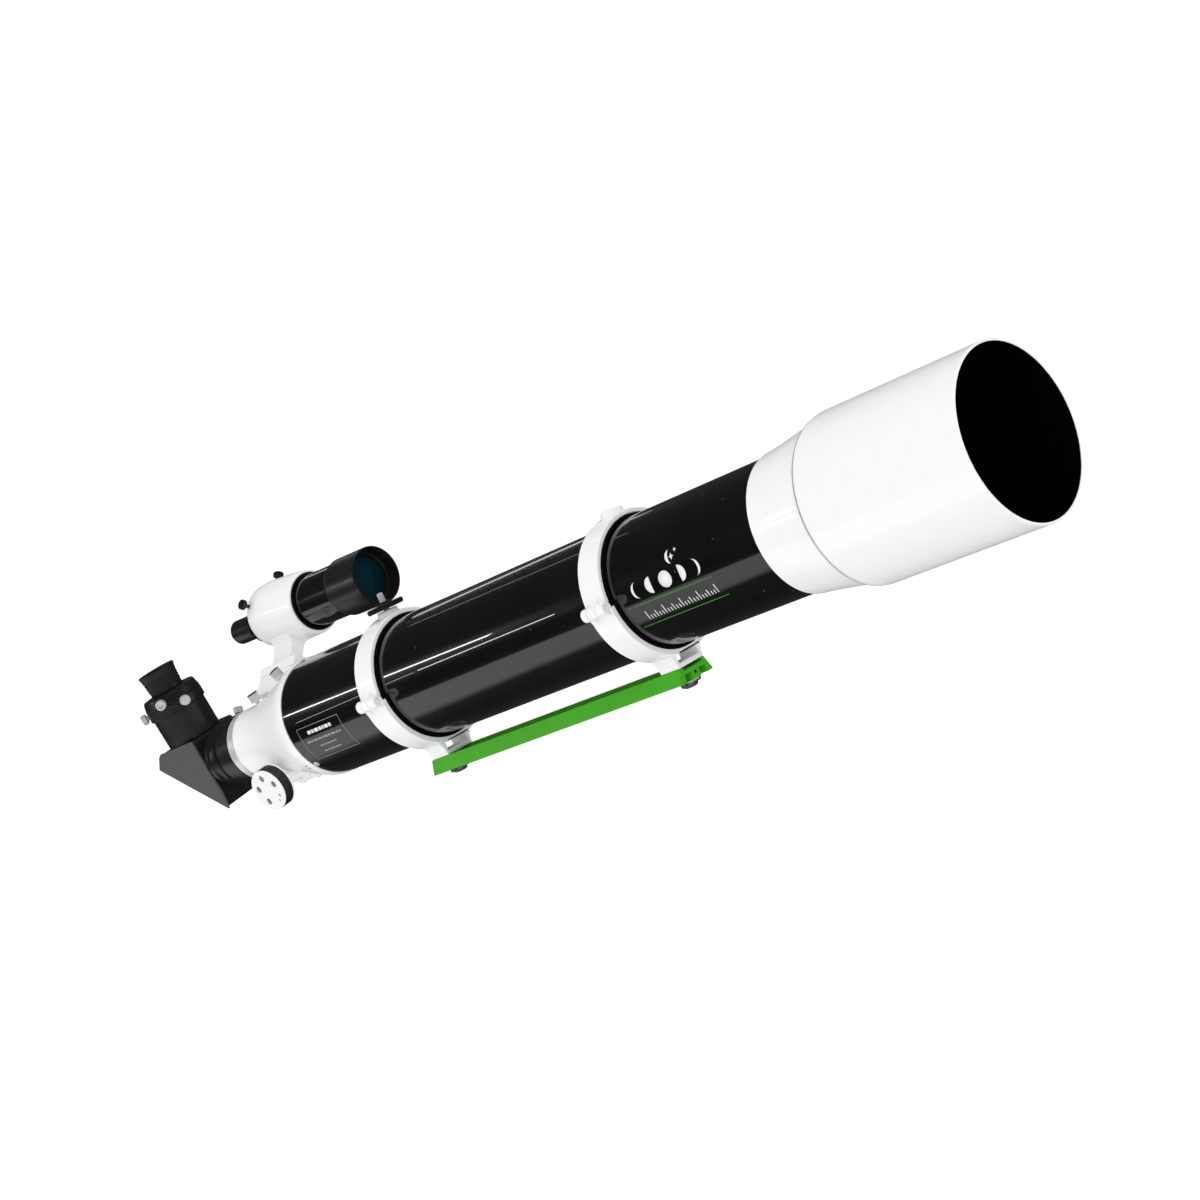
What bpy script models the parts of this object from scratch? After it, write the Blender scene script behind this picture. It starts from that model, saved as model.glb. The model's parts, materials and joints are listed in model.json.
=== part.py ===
"""Refractor telescope on a dovetail bar: tube, rings, focuser, star diagonal and finder.

Row frame, metres: the origin is the centre of the dovetail bar's underside, +X runs along the
optical axis towards the sky, +Z is up and +Y is the observer's left when looking forward.
Profiles of turned pieces are lists of (station, radius): the outer side from the high end of
the axis to the low end, then the inner side back again.
"""
import math

import bmesh
import bpy
from mathutils import Vector

MM = 0.001
GAP = 0.3 * MM                      # clearance left between touching pieces
SLIP = 0.4 * MM                     # clearance of a piece that slides or turns in another

# Driving dimensions -------------------------------------------------------------------------
TUBE_RADIUS = 60 * MM
TUBE_WALL = 1.3 * MM
TUBE_REAR = -304 * MM
TUBE_FRONT = 372 * MM
AXIS_HEIGHT = 92 * MM               # optical axis above the bar's underside
TUBE_ROLL = math.radians(7)         # the tube is turned this far in its rings

BAR_LENGTH = 350 * MM
BAR_HEIGHT = 14 * MM
BAR_BASE_WIDTH = 44.8 * MM
BAR_TOP_WIDTH = 34.8 * MM

RING_REAR_EDGES = {"rear": -173 * MM, "front": 151.5 * MM}
RING_UPPER_WIDTH = 26 * MM
RING_LOWER_WIDTH = 29 * MM
RING_OUTER = 67.5 * MM
RING_INNER = 62.6 * MM
FOOT_LENGTH = 23.5 * MM
HINGE_Y = -71 * MM
HINGE_DROP = 1 * MM                 # hinge pin below the optical axis
KNUCKLE_RADIUS = 6 * MM
CLAMP_Y = 79 * MM

APERTURE_RADIUS = 60 * MM
LENS_RADIUS = 62 * MM
CELL_REAR = 354.7 * MM
CELL_FRONT = 452 * MM
DEW_REAR = 417.5 * MM
DEW_FRONT = 589 * MM
DEW_OUTER = 75 * MM
DEW_INNER = 72.7 * MM

FOCUSER_REAR = -424.5 * MM
DRAWTUBE_RADIUS = 29 * MM
DRAWTUBE_BORE = 26 * MM
DRAWTUBE_FRONT = -272 * MM
TWO_INCH = 25.4 * MM                # radius of the 2 in accessory barrel
INCH_AND_QUARTER = 15.875 * MM      # radius of the 1.25 in eyepiece barrel

GEAR_MODULE = 0.7 * MM
PINION_TEETH = 12
PINION_X = -370.5 * MM
RACK_TEETH = 44
KNOB_RADIUS = 22.2 * MM
KNOB_THICKNESS = 15 * MM
KNOB_FACE_Y = 66 * MM

DIAGONAL_X = -519 * MM              # where the optical axis meets the mirror
HOUSING_FRONT = 31 * MM
HOUSING_TOP = 34.5 * MM
HOUSING_TOE = (27.5 * MM, -46.5 * MM)     # lowest corner of the side view
HOUSING_HEEL = (-43.5 * MM, 19.5 * MM)    # rearmost corner
HOUSING_HALF_WIDTH = 31 * MM

FINDER_AZIMUTH = math.radians(42)   # from the tube's top towards the observer's left
FINDER_OFFSET = 132.6 * MM          # finder axis from the optical axis
FINDER_PIVOT_X = -345 * MM          # the rubber ring the finder tilts in
FINDER_TILT = math.radians(1.5)
FINDER_SCREW_X = -410 * MM
BARREL_SWING = 0.033                  # sideways lean of the bracket's barrel per unit length
BARREL_RISE = -0.048                  # upward lean, growing towards the eye end
SHOE_REAR = -412 * MM
SHOE_FRONT = -352 * MM
SHOE_BASE = 62 * MM                 # top of the shoe's pedestal from the optical axis

LARGE_STEPS = 32
MEDIUM_STEPS = 20
SMALL_STEPS = 10
TOOL_TWIST = math.radians(4.1)      # keeps the corners of round tools off those of the parts

COLLECTION = "refractor_telescope"
CUTTERS = "cutters"


# Scene helpers ------------------------------------------------------------------------------
def clear_scene():
    for item in list(bpy.data.objects):
        bpy.data.objects.remove(item, do_unlink=True)


def make_collection(name):
    collection = bpy.data.collections.new(name)
    bpy.context.scene.collection.children.link(collection)
    return collection


def make_material(name, colour, roughness, metallic):
    material = bpy.data.materials.new(name)
    material.use_nodes = True
    shader = material.node_tree.nodes["Principled BSDF"]
    shader.inputs["Base Color"].default_value = (*colour, 1.0)
    shader.inputs["Roughness"].default_value = roughness
    shader.inputs["Metallic"].default_value = metallic
    return material


def make_frame(name, parent=None, location=(0, 0, 0), rotation=(0, 0, 0)):
    frame = bpy.data.objects.new(name, None)
    frame.location = location
    frame.rotation_euler = rotation
    frame.parent = parent
    bpy.data.collections[COLLECTION].objects.link(frame)
    return frame


def add_object(name, mesh, material, parent, location=(0, 0, 0), direction=None):
    """Link a mesh as an object; direction is where its local +Z points in the parent."""
    obj = bpy.data.objects.new(name, mesh)
    obj.location = location
    if direction is not None:
        obj.rotation_euler = Vector(direction).to_track_quat("Z", "Y").to_euler()
    obj.parent = parent
    if material is None:
        obj.hide_render = True
        obj.display_type = "WIRE"
        bpy.data.collections[CUTTERS].objects.link(obj)
    else:
        mesh.materials.append(material)
        bpy.data.collections[COLLECTION].objects.link(obj)
    return obj


def turned(name, profile, material, parent, location=(0, 0, 0), direction=(1, 0, 0),
           steps=MEDIUM_STEPS):
    """Turn a profile of (station, radius) points about the axis that direction gives."""
    mesh = bpy.data.meshes.new(name)
    twist = TOOL_TWIST if material is None else 0.0
    points = [(radius * math.cos(twist), radius * math.sin(twist), station)
              for station, radius in profile]
    edges = [(index, index + 1) for index in range(len(points) - 1)]
    if all(radius > 0 for _, radius in profile):
        edges.append((len(points) - 1, 0))
    mesh.from_pydata(points, edges, [])
    obj = add_object(name, mesh, material, parent, location, direction)
    screw = obj.modifiers.new("turn", "SCREW")
    screw.steps = steps
    screw.render_steps = steps
    screw.use_merge_vertices = True
    screw.merge_threshold = 0.00001
    screw.use_smooth_shade = True
    return obj


def tube_profile(high, low, outer, inner):
    return [(high, inner), (high, outer), (low, outer), (low, inner)]


def rod_profile(high, low, radius, chamfer=0.0):
    if chamfer == 0:
        return [(high, 0.0), (high, radius), (low, radius), (low, 0.0)]
    return [(high, 0.0), (high, radius - chamfer), (high - chamfer, radius),
            (low + chamfer, radius), (low, radius - chamfer), (low, 0.0)]


def block(name, low, high, material, parent, location=(0, 0, 0), rotation=(0, 0, 0)):
    """A box between two corners."""
    mesh = bpy.data.meshes.new(name)
    cage = bmesh.new()
    bmesh.ops.create_cube(cage, size=1.0)
    for vertex in cage.verts:
        vertex.co = Vector([low[axis] + (vertex.co[axis] + 0.5) * (high[axis] - low[axis])
                            for axis in range(3)])
    cage.to_mesh(mesh)
    cage.free()
    obj = add_object(name, mesh, material, parent, location)
    obj.rotation_euler = rotation
    return obj


def extruded(name, outline, along, start, end, material, parent, location=(0, 0, 0)):
    """Extrude a flat outline along X (outline in Y, Z) or along Y (outline in X, Z)."""
    cage = bmesh.new()
    corners = []
    for first, second in outline:
        place = (start, first, second) if along == "X" else (first, start, second)
        corners.append(cage.verts.new(place))
    face = cage.faces.new(corners)
    shift = Vector((end - start, 0, 0)) if along == "X" else Vector((0, end - start, 0))
    swept = bmesh.ops.extrude_face_region(cage, geom=[face])
    moved = [item for item in swept["geom"] if isinstance(item, bmesh.types.BMVert)]
    bmesh.ops.translate(cage, verts=moved, vec=shift)
    bmesh.ops.recalc_face_normals(cage, faces=cage.faces[:])
    mesh = bpy.data.meshes.new(name)
    cage.to_mesh(mesh)
    cage.free()
    return add_object(name, mesh, material, parent, location)


def combine(obj, tool, operation, solver="EXACT"):
    modifier = obj.modifiers.new(tool.name, "BOOLEAN")
    modifier.operation = operation
    modifier.solver = solver
    modifier.object = tool


def cut(obj, tool, solver="EXACT"):
    combine(obj, tool, "DIFFERENCE", solver)


def join(obj, tool):
    combine(obj, tool, "UNION")


def arc(radius, start, end, count):
    """Points (y, z) on a circle about the axis; angles in degrees from +Y towards +Z."""
    points = []
    for index in range(count + 1):
        angle = math.radians(start + (end - start) * index / count)
        points.append((radius * math.cos(angle), radius * math.sin(angle)))
    return points


def thumbscrew(name, material, parent, seat, direction, head_radius, head_length, lift, reach,
               shank_radius=2 * MM):
    """A knurled-head screw: seat is on the surface, lift below the head, reach into the part."""
    profile = [(lift + head_length, 0.0),
               (lift + head_length, head_radius),
               (lift, head_radius),
               (lift, shank_radius),
               (-reach, shank_radius),
               (-reach, 0.0)]
    return turned(name, profile, material, parent, seat, direction, SMALL_STEPS)


def drill(obj, name, parent, seat, direction, radius, outward, inward, solver="EXACT"):
    """Cut a round hole through the seat point."""
    tool = turned(name, rod_profile(outward, -inward, radius), None, parent, seat, direction,
                  SMALL_STEPS)
    cut(obj, tool, solver)


# Materials ----------------------------------------------------------------------------------
def make_materials():
    return {
        "white": make_material("white_enamel", (0.88, 0.88, 0.88), 0.35, 0.0),
        "black": make_material("black_gloss_paint", (0.012, 0.012, 0.013), 0.12, 0.0),
        "satin": make_material("black_anodised", (0.02, 0.02, 0.022), 0.4, 0.0),
        "grey": make_material("dark_grey_plastic", (0.06, 0.06, 0.06), 0.5, 0.0),
        "green": make_material("green_anodised", (0.06, 0.36, 0.02), 0.35, 0.4),
        "chrome": make_material("chrome", (0.8, 0.8, 0.8), 0.15, 1.0),
        "brass": make_material("brass", (0.75, 0.55, 0.25), 0.3, 1.0),
        "felt": make_material("black_felt", (0.01, 0.01, 0.01), 0.95, 0.0),
        "rubber": make_material("black_rubber", (0.015, 0.015, 0.015), 0.7, 0.0),
        "glass": make_material("coated_glass", (0.02, 0.12, 0.14), 0.05, 0.0),
        "mirror": make_material("mirror", (0.9, 0.9, 0.92), 0.02, 1.0),
    }


# Bar and rings ------------------------------------------------------------------------------
def build_bar(paints):
    half_base = BAR_BASE_WIDTH / 2
    half_top = BAR_TOP_WIDTH / 2
    rail = 13.5 * MM                 # inner edge of the two top rails
    channel_floor = BAR_HEIGHT - 3 * MM
    web = 7 * MM                     # half width of the middle web
    leg = 14.5 * MM                  # inner edge of the outer legs
    slot_roof = 6 * MM
    right = [(web, 0), (web, slot_roof), (leg, slot_roof), (leg, 0), (half_base, 0),
             (half_top, BAR_HEIGHT), (rail, BAR_HEIGHT), (rail, channel_floor)]
    outline = right + [(-across, height) for across, height in reversed(right)]
    bar = extruded("dovetail_bar", outline, "X", -BAR_LENGTH / 2, BAR_LENGTH / 2,
                   paints["green"], None)
    for end, rear_edge in RING_REAR_EDGES.items():
        bolt_x = rear_edge + FOOT_LENGTH / 2
        drill(bar, end + "_bar_bore", None, (bolt_x, 0, 0), (0, 0, 1), 3.3 * MM,
              20 * MM, 5 * MM)
        head = [(BAR_HEIGHT + 4.6 * MM, 0.0), (BAR_HEIGHT + 4.6 * MM, 2.9 * MM),
                (-GAP, 2.9 * MM), (-GAP, 9.5 * MM), (-1.8 * MM, 9.5 * MM),
                (-1.8 * MM, 7.5 * MM), (-5.6 * MM, 7 * MM), (-6.4 * MM, 5.6 * MM),
                (-6.4 * MM, 0.0)]
        turned(end + "_foot_bolt", head, paints["chrome"], None, (bolt_x, 0, 0), (0, 0, 1),
               SMALL_STEPS)


def knuckle_tools(end, axis_frame, rear_edge, spans, suffix):
    """Round hinge knuckles, one for each span from the ring's rear edge."""
    knuckles = []
    for index, (low, high) in enumerate(spans):
        profile = rod_profile(rear_edge + high, rear_edge + low, KNUCKLE_RADIUS)
        knuckles.append(turned(f"{end}_knuckle_{suffix}_{index}", profile, None, axis_frame,
                               (0, HINGE_Y, -HINGE_DROP), (1, 0, 0), SMALL_STEPS))
    return knuckles


def build_ring(end, rear_edge, axis_frame, paints):
    split = 2 * MM                   # half of the gap between the two halves
    split_angle = math.degrees(math.asin(split / RING_OUTER))
    steps = 16
    inset = 0.4 * MM                 # joined shapes start this far inside the ring's faces
    lug_reach = CLAMP_Y + 8 * MM
    lug_thickness = 8 * MM
    hinge_gap = 0.5 * MM
    middle = (8 * MM, 18 * MM)       # the upper half's knuckle, from the rear edge
    bore = 2.3 * MM

    upper_outline = (arc(RING_OUTER, split_angle, 180 - split_angle, steps)
                     + list(reversed(arc(RING_INNER, split_angle, 180 - split_angle, steps))))
    upper = extruded(end + "_ring_upper", upper_outline, "X", rear_edge,
                     rear_edge + RING_UPPER_WIDTH, paints["white"], axis_frame)
    lower_outline = (arc(RING_OUTER, 180 + split_angle, 360 - split_angle, steps)
                     + list(reversed(arc(RING_INNER, 180 + split_angle, 360 - split_angle,
                                         steps))))
    lower = extruded(end + "_ring_lower", lower_outline, "X", rear_edge,
                     rear_edge + RING_LOWER_WIDTH, paints["white"], axis_frame)

    # Round boss on top, drilled for the camera stud.
    boss = turned(end + "_boss", rod_profile(72 * MM, 64.5 * MM, 11 * MM), None, axis_frame,
                  (rear_edge + RING_UPPER_WIDTH / 2, 0, 0), (0, 0, 1), SMALL_STEPS)
    join(upper, boss)

    # Clamp lugs on the observer's left.
    lug_start = RING_INNER + 1 * MM
    lug_low = rear_edge + 4 * MM
    lug_high = rear_edge + RING_UPPER_WIDTH - 4 * MM
    join(upper, block(end + "_lug_upper", (lug_low, lug_start, split + inset),
                      (lug_high, lug_reach, split + lug_thickness), None, axis_frame))
    join(lower, block(end + "_lug_lower", (lug_low, lug_start, -split - lug_thickness),
                      (lug_high, lug_reach, -split - inset), None, axis_frame))

    # Foot: a base plate between two walls that stand on the bar, open along the axis.
    foot_bottom = BAR_HEIGHT + GAP - AXIS_HEIGHT
    foot_half = 17.4 * MM
    foot_shoulder = 21.5 * MM
    window_half = 14 * MM
    foot_outline = [(-foot_half, foot_bottom), (foot_half, foot_bottom),
                    (foot_half, foot_bottom + 6 * MM), (foot_shoulder, -63.6 * MM),
                    (-foot_shoulder, -63.6 * MM), (-foot_half, foot_bottom + 6 * MM)]
    foot = extruded(end + "_foot", foot_outline, "X", rear_edge + inset,
                    rear_edge + FOOT_LENGTH, None, axis_frame)
    join(lower, foot)
    cut(lower, block(end + "_foot_window", (rear_edge - 5 * MM, -window_half,
                                            foot_bottom + 5 * MM),
                     (rear_edge + RING_LOWER_WIDTH + 5 * MM, window_half, -64.4 * MM),
                     None, axis_frame))
    drill(lower, end + "_foot_bore", axis_frame, (rear_edge + FOOT_LENGTH / 2, 0, foot_bottom),
          (0, 0, 1), 3.3 * MM, 9 * MM, 3 * MM)

    # Hinge: the upper half's knuckle sits between the lower half's two.
    lower_spans = [(inset, middle[0] - hinge_gap),
                   (middle[1] + hinge_gap, RING_UPPER_WIDTH)]
    relief = turned(end + "_relief_lower", rod_profile(rear_edge + middle[1] + hinge_gap,
                                                       rear_edge + middle[0] - hinge_gap,
                                                       KNUCKLE_RADIUS + hinge_gap),
                    None, axis_frame, (0, HINGE_Y, -HINGE_DROP), (1, 0, 0), SMALL_STEPS)
    cut(lower, relief)
    for knuckle in knuckle_tools(end, axis_frame, rear_edge, lower_spans, "lower"):
        join(lower, knuckle)
    for index, (low, high) in enumerate([(-hinge_gap, middle[0]),
                                         (middle[1], RING_UPPER_WIDTH + hinge_gap)]):
        relief = turned(f"{end}_relief_upper_{index}",
                        rod_profile(rear_edge + high, rear_edge + low,
                                    KNUCKLE_RADIUS + hinge_gap),
                        None, axis_frame, (0, HINGE_Y, -HINGE_DROP), (1, 0, 0), SMALL_STEPS)
        cut(upper, relief)
    join(upper, block(end + "_hinge_leaf", (rear_edge + middle[0], HINGE_Y - 1 * MM, 1 * MM),
                      (rear_edge + middle[1], HINGE_Y + 6 * MM, 9 * MM), None, axis_frame))
    for knuckle in knuckle_tools(end, axis_frame, rear_edge, [middle], "upper"):
        join(upper, knuckle)
    for half, part in (("upper", upper), ("lower", lower)):
        drill(part, f"{end}_pin_bore_{half}", axis_frame, (rear_edge, HINGE_Y, -HINGE_DROP),
              (1, 0, 0), bore, 40 * MM, 5 * MM)
    turned(end + "_hinge_pin", rod_profile(RING_UPPER_WIDTH + 0.8 * MM, -0.8 * MM,
                                           bore - GAP, 0.4 * MM),
           paints["chrome"], axis_frame, (rear_edge, HINGE_Y, -HINGE_DROP), (1, 0, 0),
           SMALL_STEPS)

    # Captive clamp screw: a close hole above, a wide one below that its tip swings out of.
    screw_x = rear_edge + RING_UPPER_WIDTH / 2
    lug_top = split + lug_thickness
    drill(upper, end + "_clamp_bore_upper", axis_frame, (screw_x, CLAMP_Y, lug_top),
          (0, 0, 1), 3.4 * MM, 5 * MM, lug_thickness + 1 * MM, "MANIFOLD")
    drill(lower, end + "_clamp_bore_lower", axis_frame, (screw_x, CLAMP_Y, -split),
          (0, 0, 1), 4.2 * MM, 1 * MM, lug_thickness + 5 * MM, "MANIFOLD")
    thumbscrew(end + "_clamp_screw", paints["chrome"], axis_frame,
               (screw_x, CLAMP_Y, lug_top), (0, 0, 1), 7.5 * MM, 14 * MM, GAP,
               lug_thickness + 2 * split + 6 * MM, 3 * MM)

    # Felt liners fill the space between ring and tube.
    felt_outer = RING_INNER - GAP
    felt_inner = TUBE_RADIUS + 0.7 * MM
    for half, turn, width in (("upper", 0, RING_UPPER_WIDTH), ("lower", 180, RING_LOWER_WIDTH)):
        first = turn + split_angle
        last = turn + 180 - split_angle
        outline = (arc(felt_outer, first, last, steps)
                   + list(reversed(arc(felt_inner, first, last, steps))))
        extruded(f"{end}_felt_{half}", outline, "X", rear_edge + 0.3 * MM, rear_edge + width,
                 paints["felt"], axis_frame)
    return upper


def build_piggyback(upper, axis_frame, paints):
    """Camera stud and its lock wheel on the rear ring's boss."""
    stud_x = RING_REAR_EDGES["rear"] + RING_UPPER_WIDTH / 2
    boss_top = 72 * MM
    stud_radius = 3.175 * MM
    drill(upper, "stud_bore", axis_frame, (stud_x, 0, boss_top), (0, 0, 1),
          stud_radius + GAP, 3 * MM, 6 * MM, "MANIFOLD")
    turned("piggyback_stud", rod_profile(89.6 * MM, boss_top - 5.6 * MM, stud_radius, 0.6 * MM),
           paints["chrome"], axis_frame, (stud_x, 0, 0), (0, 0, 1), SMALL_STEPS)
    wheel_radius = 18.5 * MM
    hub_radius = 7 * MM
    bore = stud_radius + SLIP
    wheel = [(80.6 * MM, bore), (80.6 * MM, hub_radius), (78 * MM, hub_radius),
             (78 * MM, wheel_radius - 0.6 * MM), (77.4 * MM, wheel_radius),
             (73.3 * MM, wheel_radius), (72.7 * MM, wheel_radius - 0.6 * MM), (72.7 * MM, bore)]
    turned("piggyback_wheel", wheel, paints["satin"], axis_frame, (stud_x, 0, 0), (0, 0, 1),
           MEDIUM_STEPS)


# Optical tube -------------------------------------------------------------------------------
def lens_profile(front, rear, radius, front_bulge, rear_bulge):
    """A lens between two edge stations; a bulge is how far its middle stands out."""
    count = 3
    front_side = []
    rear_side = []
    for index in range(count + 1):
        share = index / count
        drop = 1 - share * share
        front_side.append((front + front_bulge * drop, radius * share))
        rear_side.append((rear - rear_bulge * drop, radius * share))
    return front_side + list(reversed(rear_side))


def build_tube(roll, paints):
    turned("main_tube", tube_profile(TUBE_FRONT, TUBE_REAR, TUBE_RADIUS,
                                     TUBE_RADIUS - TUBE_WALL),
           paints["black"], roll, steps=LARGE_STEPS)
    seat = 412 * MM                  # shoulder that the glass rests on
    cell = [(CELL_FRONT, LENS_RADIUS + GAP), (CELL_FRONT, DEW_INNER - SLIP),
            (DEW_REAR + 1 * MM, DEW_INNER - SLIP), (DEW_REAR - 1 * MM, 70.6 * MM),
            (400 * MM, 68.4 * MM), (370 * MM, 64.6 * MM), (360 * MM, 63.2 * MM),
            (CELL_REAR, 62.3 * MM), (CELL_REAR, TUBE_RADIUS + GAP),
            (TUBE_FRONT + GAP, TUBE_RADIUS + GAP), (TUBE_FRONT + GAP, APERTURE_RADIUS - MM),
            (seat, APERTURE_RADIUS - MM), (seat, LENS_RADIUS + GAP)]
    turned("objective_cell", cell, paints["white"], roll, steps=LARGE_STEPS)

    flint_front = seat + GAP + 8 * MM
    crown_rear = flint_front + 2 * GAP + 1.5 * MM
    crown_front = crown_rear + 7 * MM
    turned("rear_lens", lens_profile(flint_front, seat + GAP, LENS_RADIUS, -4 * MM, 1 * MM),
           paints["glass"], roll, steps=LARGE_STEPS)
    turned("lens_spacer", tube_profile(crown_rear - GAP, flint_front + GAP, LENS_RADIUS,
                                       APERTURE_RADIUS),
           paints["satin"], roll, steps=MEDIUM_STEPS)
    turned("front_lens", lens_profile(crown_front, crown_rear, LENS_RADIUS, 3.6 * MM, 3.6 * MM),
           paints["glass"], roll, steps=LARGE_STEPS)
    retainer_rear = crown_front + 3 * GAP
    turned("lens_retainer", tube_profile(retainer_rear + 6 * MM, retainer_rear,
                                         LENS_RADIUS, APERTURE_RADIUS - MM),
           paints["satin"], roll, steps=MEDIUM_STEPS)

    dew = [(DEW_FRONT, DEW_INNER), (DEW_FRONT, DEW_INNER + 1.5 * MM),
           (DEW_FRONT - 2 * MM, DEW_OUTER), (DEW_REAR + 7 * MM, DEW_OUTER),
           (DEW_REAR + 2 * MM, DEW_OUTER - 0.7 * MM), (DEW_REAR, DEW_OUTER - 1.6 * MM),
           (DEW_REAR, DEW_INNER)]
    turned("dew_shield", dew, paints["white"], roll, steps=LARGE_STEPS)

    baffle_x = 100 * MM
    edge = TUBE_RADIUS - TUBE_WALL - GAP
    baffle = [(baffle_x, 44 * MM), (baffle_x, edge), (baffle_x - 8 * MM, edge),
              (baffle_x - 8 * MM, edge - 1.2 * MM), (baffle_x - 1.2 * MM, edge - 1.2 * MM),
              (baffle_x - 1.2 * MM, 44 * MM)]
    turned("tube_baffle", baffle, paints["satin"], roll)


# Focuser ------------------------------------------------------------------------------------
def pinion_height():
    """Pinion axis below the optical axis, from the drawtube, the rack and the gear size."""
    rack_base = 1.2 * MM
    pitch_line = DRAWTUBE_RADIUS + GAP + rack_base + 1.25 * GEAR_MODULE
    return pitch_line + GEAR_MODULE * PINION_TEETH / 2 + 0.15 * MM


def build_focuser(roll, finder_frame, paints):
    spigot = TUBE_RADIUS - TUBE_WALL - GAP
    bore = DRAWTUBE_RADIUS + SLIP
    rough_bore = bore - 3 * MM       # bored out to size after the housing is joined on
    flange_front = TUBE_REAR - GAP
    profile = [(-290 * MM, spigot - 3 * MM), (-290 * MM, spigot), (flange_front, spigot),
               (flange_front, 61 * MM), (-313 * MM, 60.6 * MM), (-320 * MM, 59 * MM),
               (-332 * MM, 55.2 * MM), (-347 * MM, 50.6 * MM), (-362 * MM, 46.4 * MM),
               (-377 * MM, 42.6 * MM), (-390 * MM, 39.6 * MM), (-400 * MM, 38.2 * MM),
               (FOCUSER_REAR + 1.5 * MM, 37.5 * MM), (FOCUSER_REAR, 36 * MM),
               (FOCUSER_REAR, rough_bore), (-334 * MM, rough_bore), (-326 * MM, 48 * MM),
               (-304 * MM, spigot - 3 * MM)]
    body = turned("focuser_body", profile, paints["white"], roll, steps=LARGE_STEPS)

    # Pedestal for the finder shoe.
    join(body, block("shoe_pedestal", (SHOE_REAR, -14 * MM, 35 * MM),
                     (SHOE_FRONT, 14 * MM, SHOE_BASE), None, finder_frame))
    # Gear housing under the body with a bearing tube to each side.
    drop = pinion_height()
    housing_bottom = -50 * MM
    join(body, block("gear_housing", (-391 * MM, -19 * MM, housing_bottom),
                     (-338 * MM, 19 * MM, -36 * MM), None, roll))
    join(body, turned("bearing_tube", rod_profile(46 * MM, -46 * MM, 8.5 * MM), None, roll,
                      (PINION_X, 0, -drop), (0, 1, 0), SMALL_STEPS))
    cut(body, turned("drawtube_path", rod_profile(-320 * MM, -430 * MM, bore), None, roll,
                     steps=LARGE_STEPS))
    cut(body, turned("shaft_bore", rod_profile(60 * MM, -60 * MM, 3 * MM + SLIP), None, roll,
                     (PINION_X, 0, -drop), (0, 1, 0), SMALL_STEPS))
    rack_half = 3.5 * MM
    tooth_tip = drop - GEAR_MODULE * (PINION_TEETH / 2 - 1)
    cut(body, block("rack_slot", (-430 * MM, -rack_half - SLIP, -tooth_tip - 1 * MM),
                    (-300 * MM, rack_half + SLIP, -20 * MM), None, roll), "MANIFOLD")
    cut(body, block("gear_pocket", (PINION_X - 7 * MM, -7 * MM, housing_bottom - 5 * MM),
                    (PINION_X + 7 * MM, 7 * MM, -DRAWTUBE_RADIUS + 1 * MM), None, roll),
        "MANIFOLD")
    block("pinion_cover", (-388 * MM, -16 * MM, housing_bottom - 2.6 * MM),
          (-353 * MM, 16 * MM, housing_bottom - GAP), paints["white"], roll)

    # Two screws on top: the front one leans back with the cone, the rear one stands nearly up.
    front_tilt = math.radians(22)
    rear_tilt = math.radians(5)
    for name, seat, tilt, reach in (
            ("focus_tension_screw", (-343 * MM, 0, 51.8 * MM), front_tilt, 14 * MM),
            ("focus_lock_screw", (-397 * MM, 0, 38.5 * MM), rear_tilt, 8.4 * MM)):
        direction = (-math.sin(tilt), 0, math.cos(tilt))
        drill(body, name + "_bore", roll, seat, direction, 2 * MM + SLIP, 8 * MM,
              reach + 1.5 * MM, "MANIFOLD")
        thumbscrew(name, paints["chrome"], roll, seat, direction, 5.7 * MM, 10 * MM, 3 * MM,
                   reach)

    tube_rear = FOCUSER_REAR - 0.5 * MM
    flange_rear = tube_rear - 11 * MM
    drawtube = [(DRAWTUBE_FRONT, DRAWTUBE_BORE), (DRAWTUBE_FRONT, DRAWTUBE_RADIUS),
                (tube_rear, DRAWTUBE_RADIUS), (tube_rear, 36 * MM),
                (tube_rear - 0.6 * MM, 36.6 * MM), (flange_rear, 36.6 * MM),
                (flange_rear, DRAWTUBE_BORE)]
    turned("drawtube", drawtube, paints["chrome"], roll, steps=LARGE_STEPS)
    collar_front = flange_rear - GAP
    step_x = -446.5 * MM
    collar_rear = -462 * MM
    collar_bore = TWO_INCH + GAP
    collar = [(collar_front, collar_bore), (collar_front, 36.2 * MM), (step_x, 36.2 * MM),
              (step_x - 0.8 * MM, 35 * MM), (collar_rear + 1 * MM, 35 * MM),
              (collar_rear, 34 * MM), (collar_rear, collar_bore)]
    back = turned("visual_back", collar, paints["satin"], roll, steps=LARGE_STEPS)
    azimuth = math.radians(24)
    direction = (0, math.sin(azimuth), math.cos(azimuth))
    seat_radius = 35 * MM
    seat = (-454 * MM, seat_radius * direction[1], seat_radius * direction[2])
    drill(back, "collar_screw_bore", roll, seat, direction, 2 * MM + SLIP, 5 * MM, 12 * MM)
    thumbscrew("collar_screw", paints["chrome"], roll, seat, direction, 5 * MM, 7 * MM,
               3 * MM, 8.6 * MM)
    return drop


def rack_outline(teeth, module, base_top, base_thickness):
    """Side view of a straight rack whose teeth point down."""
    pitch = math.pi * module
    root = base_top - base_thickness
    tip = root - 2.25 * module
    length = teeth * pitch
    outline = [(0, base_top), (0, root)]
    for tooth in range(teeth):
        start = tooth * pitch
        outline += [(start + 0.12 * pitch, root), (start + 0.36 * pitch, tip),
                    (start + 0.62 * pitch, tip), (start + 0.86 * pitch, root)]
    outline += [(length, root), (length, base_top)]
    return outline


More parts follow.
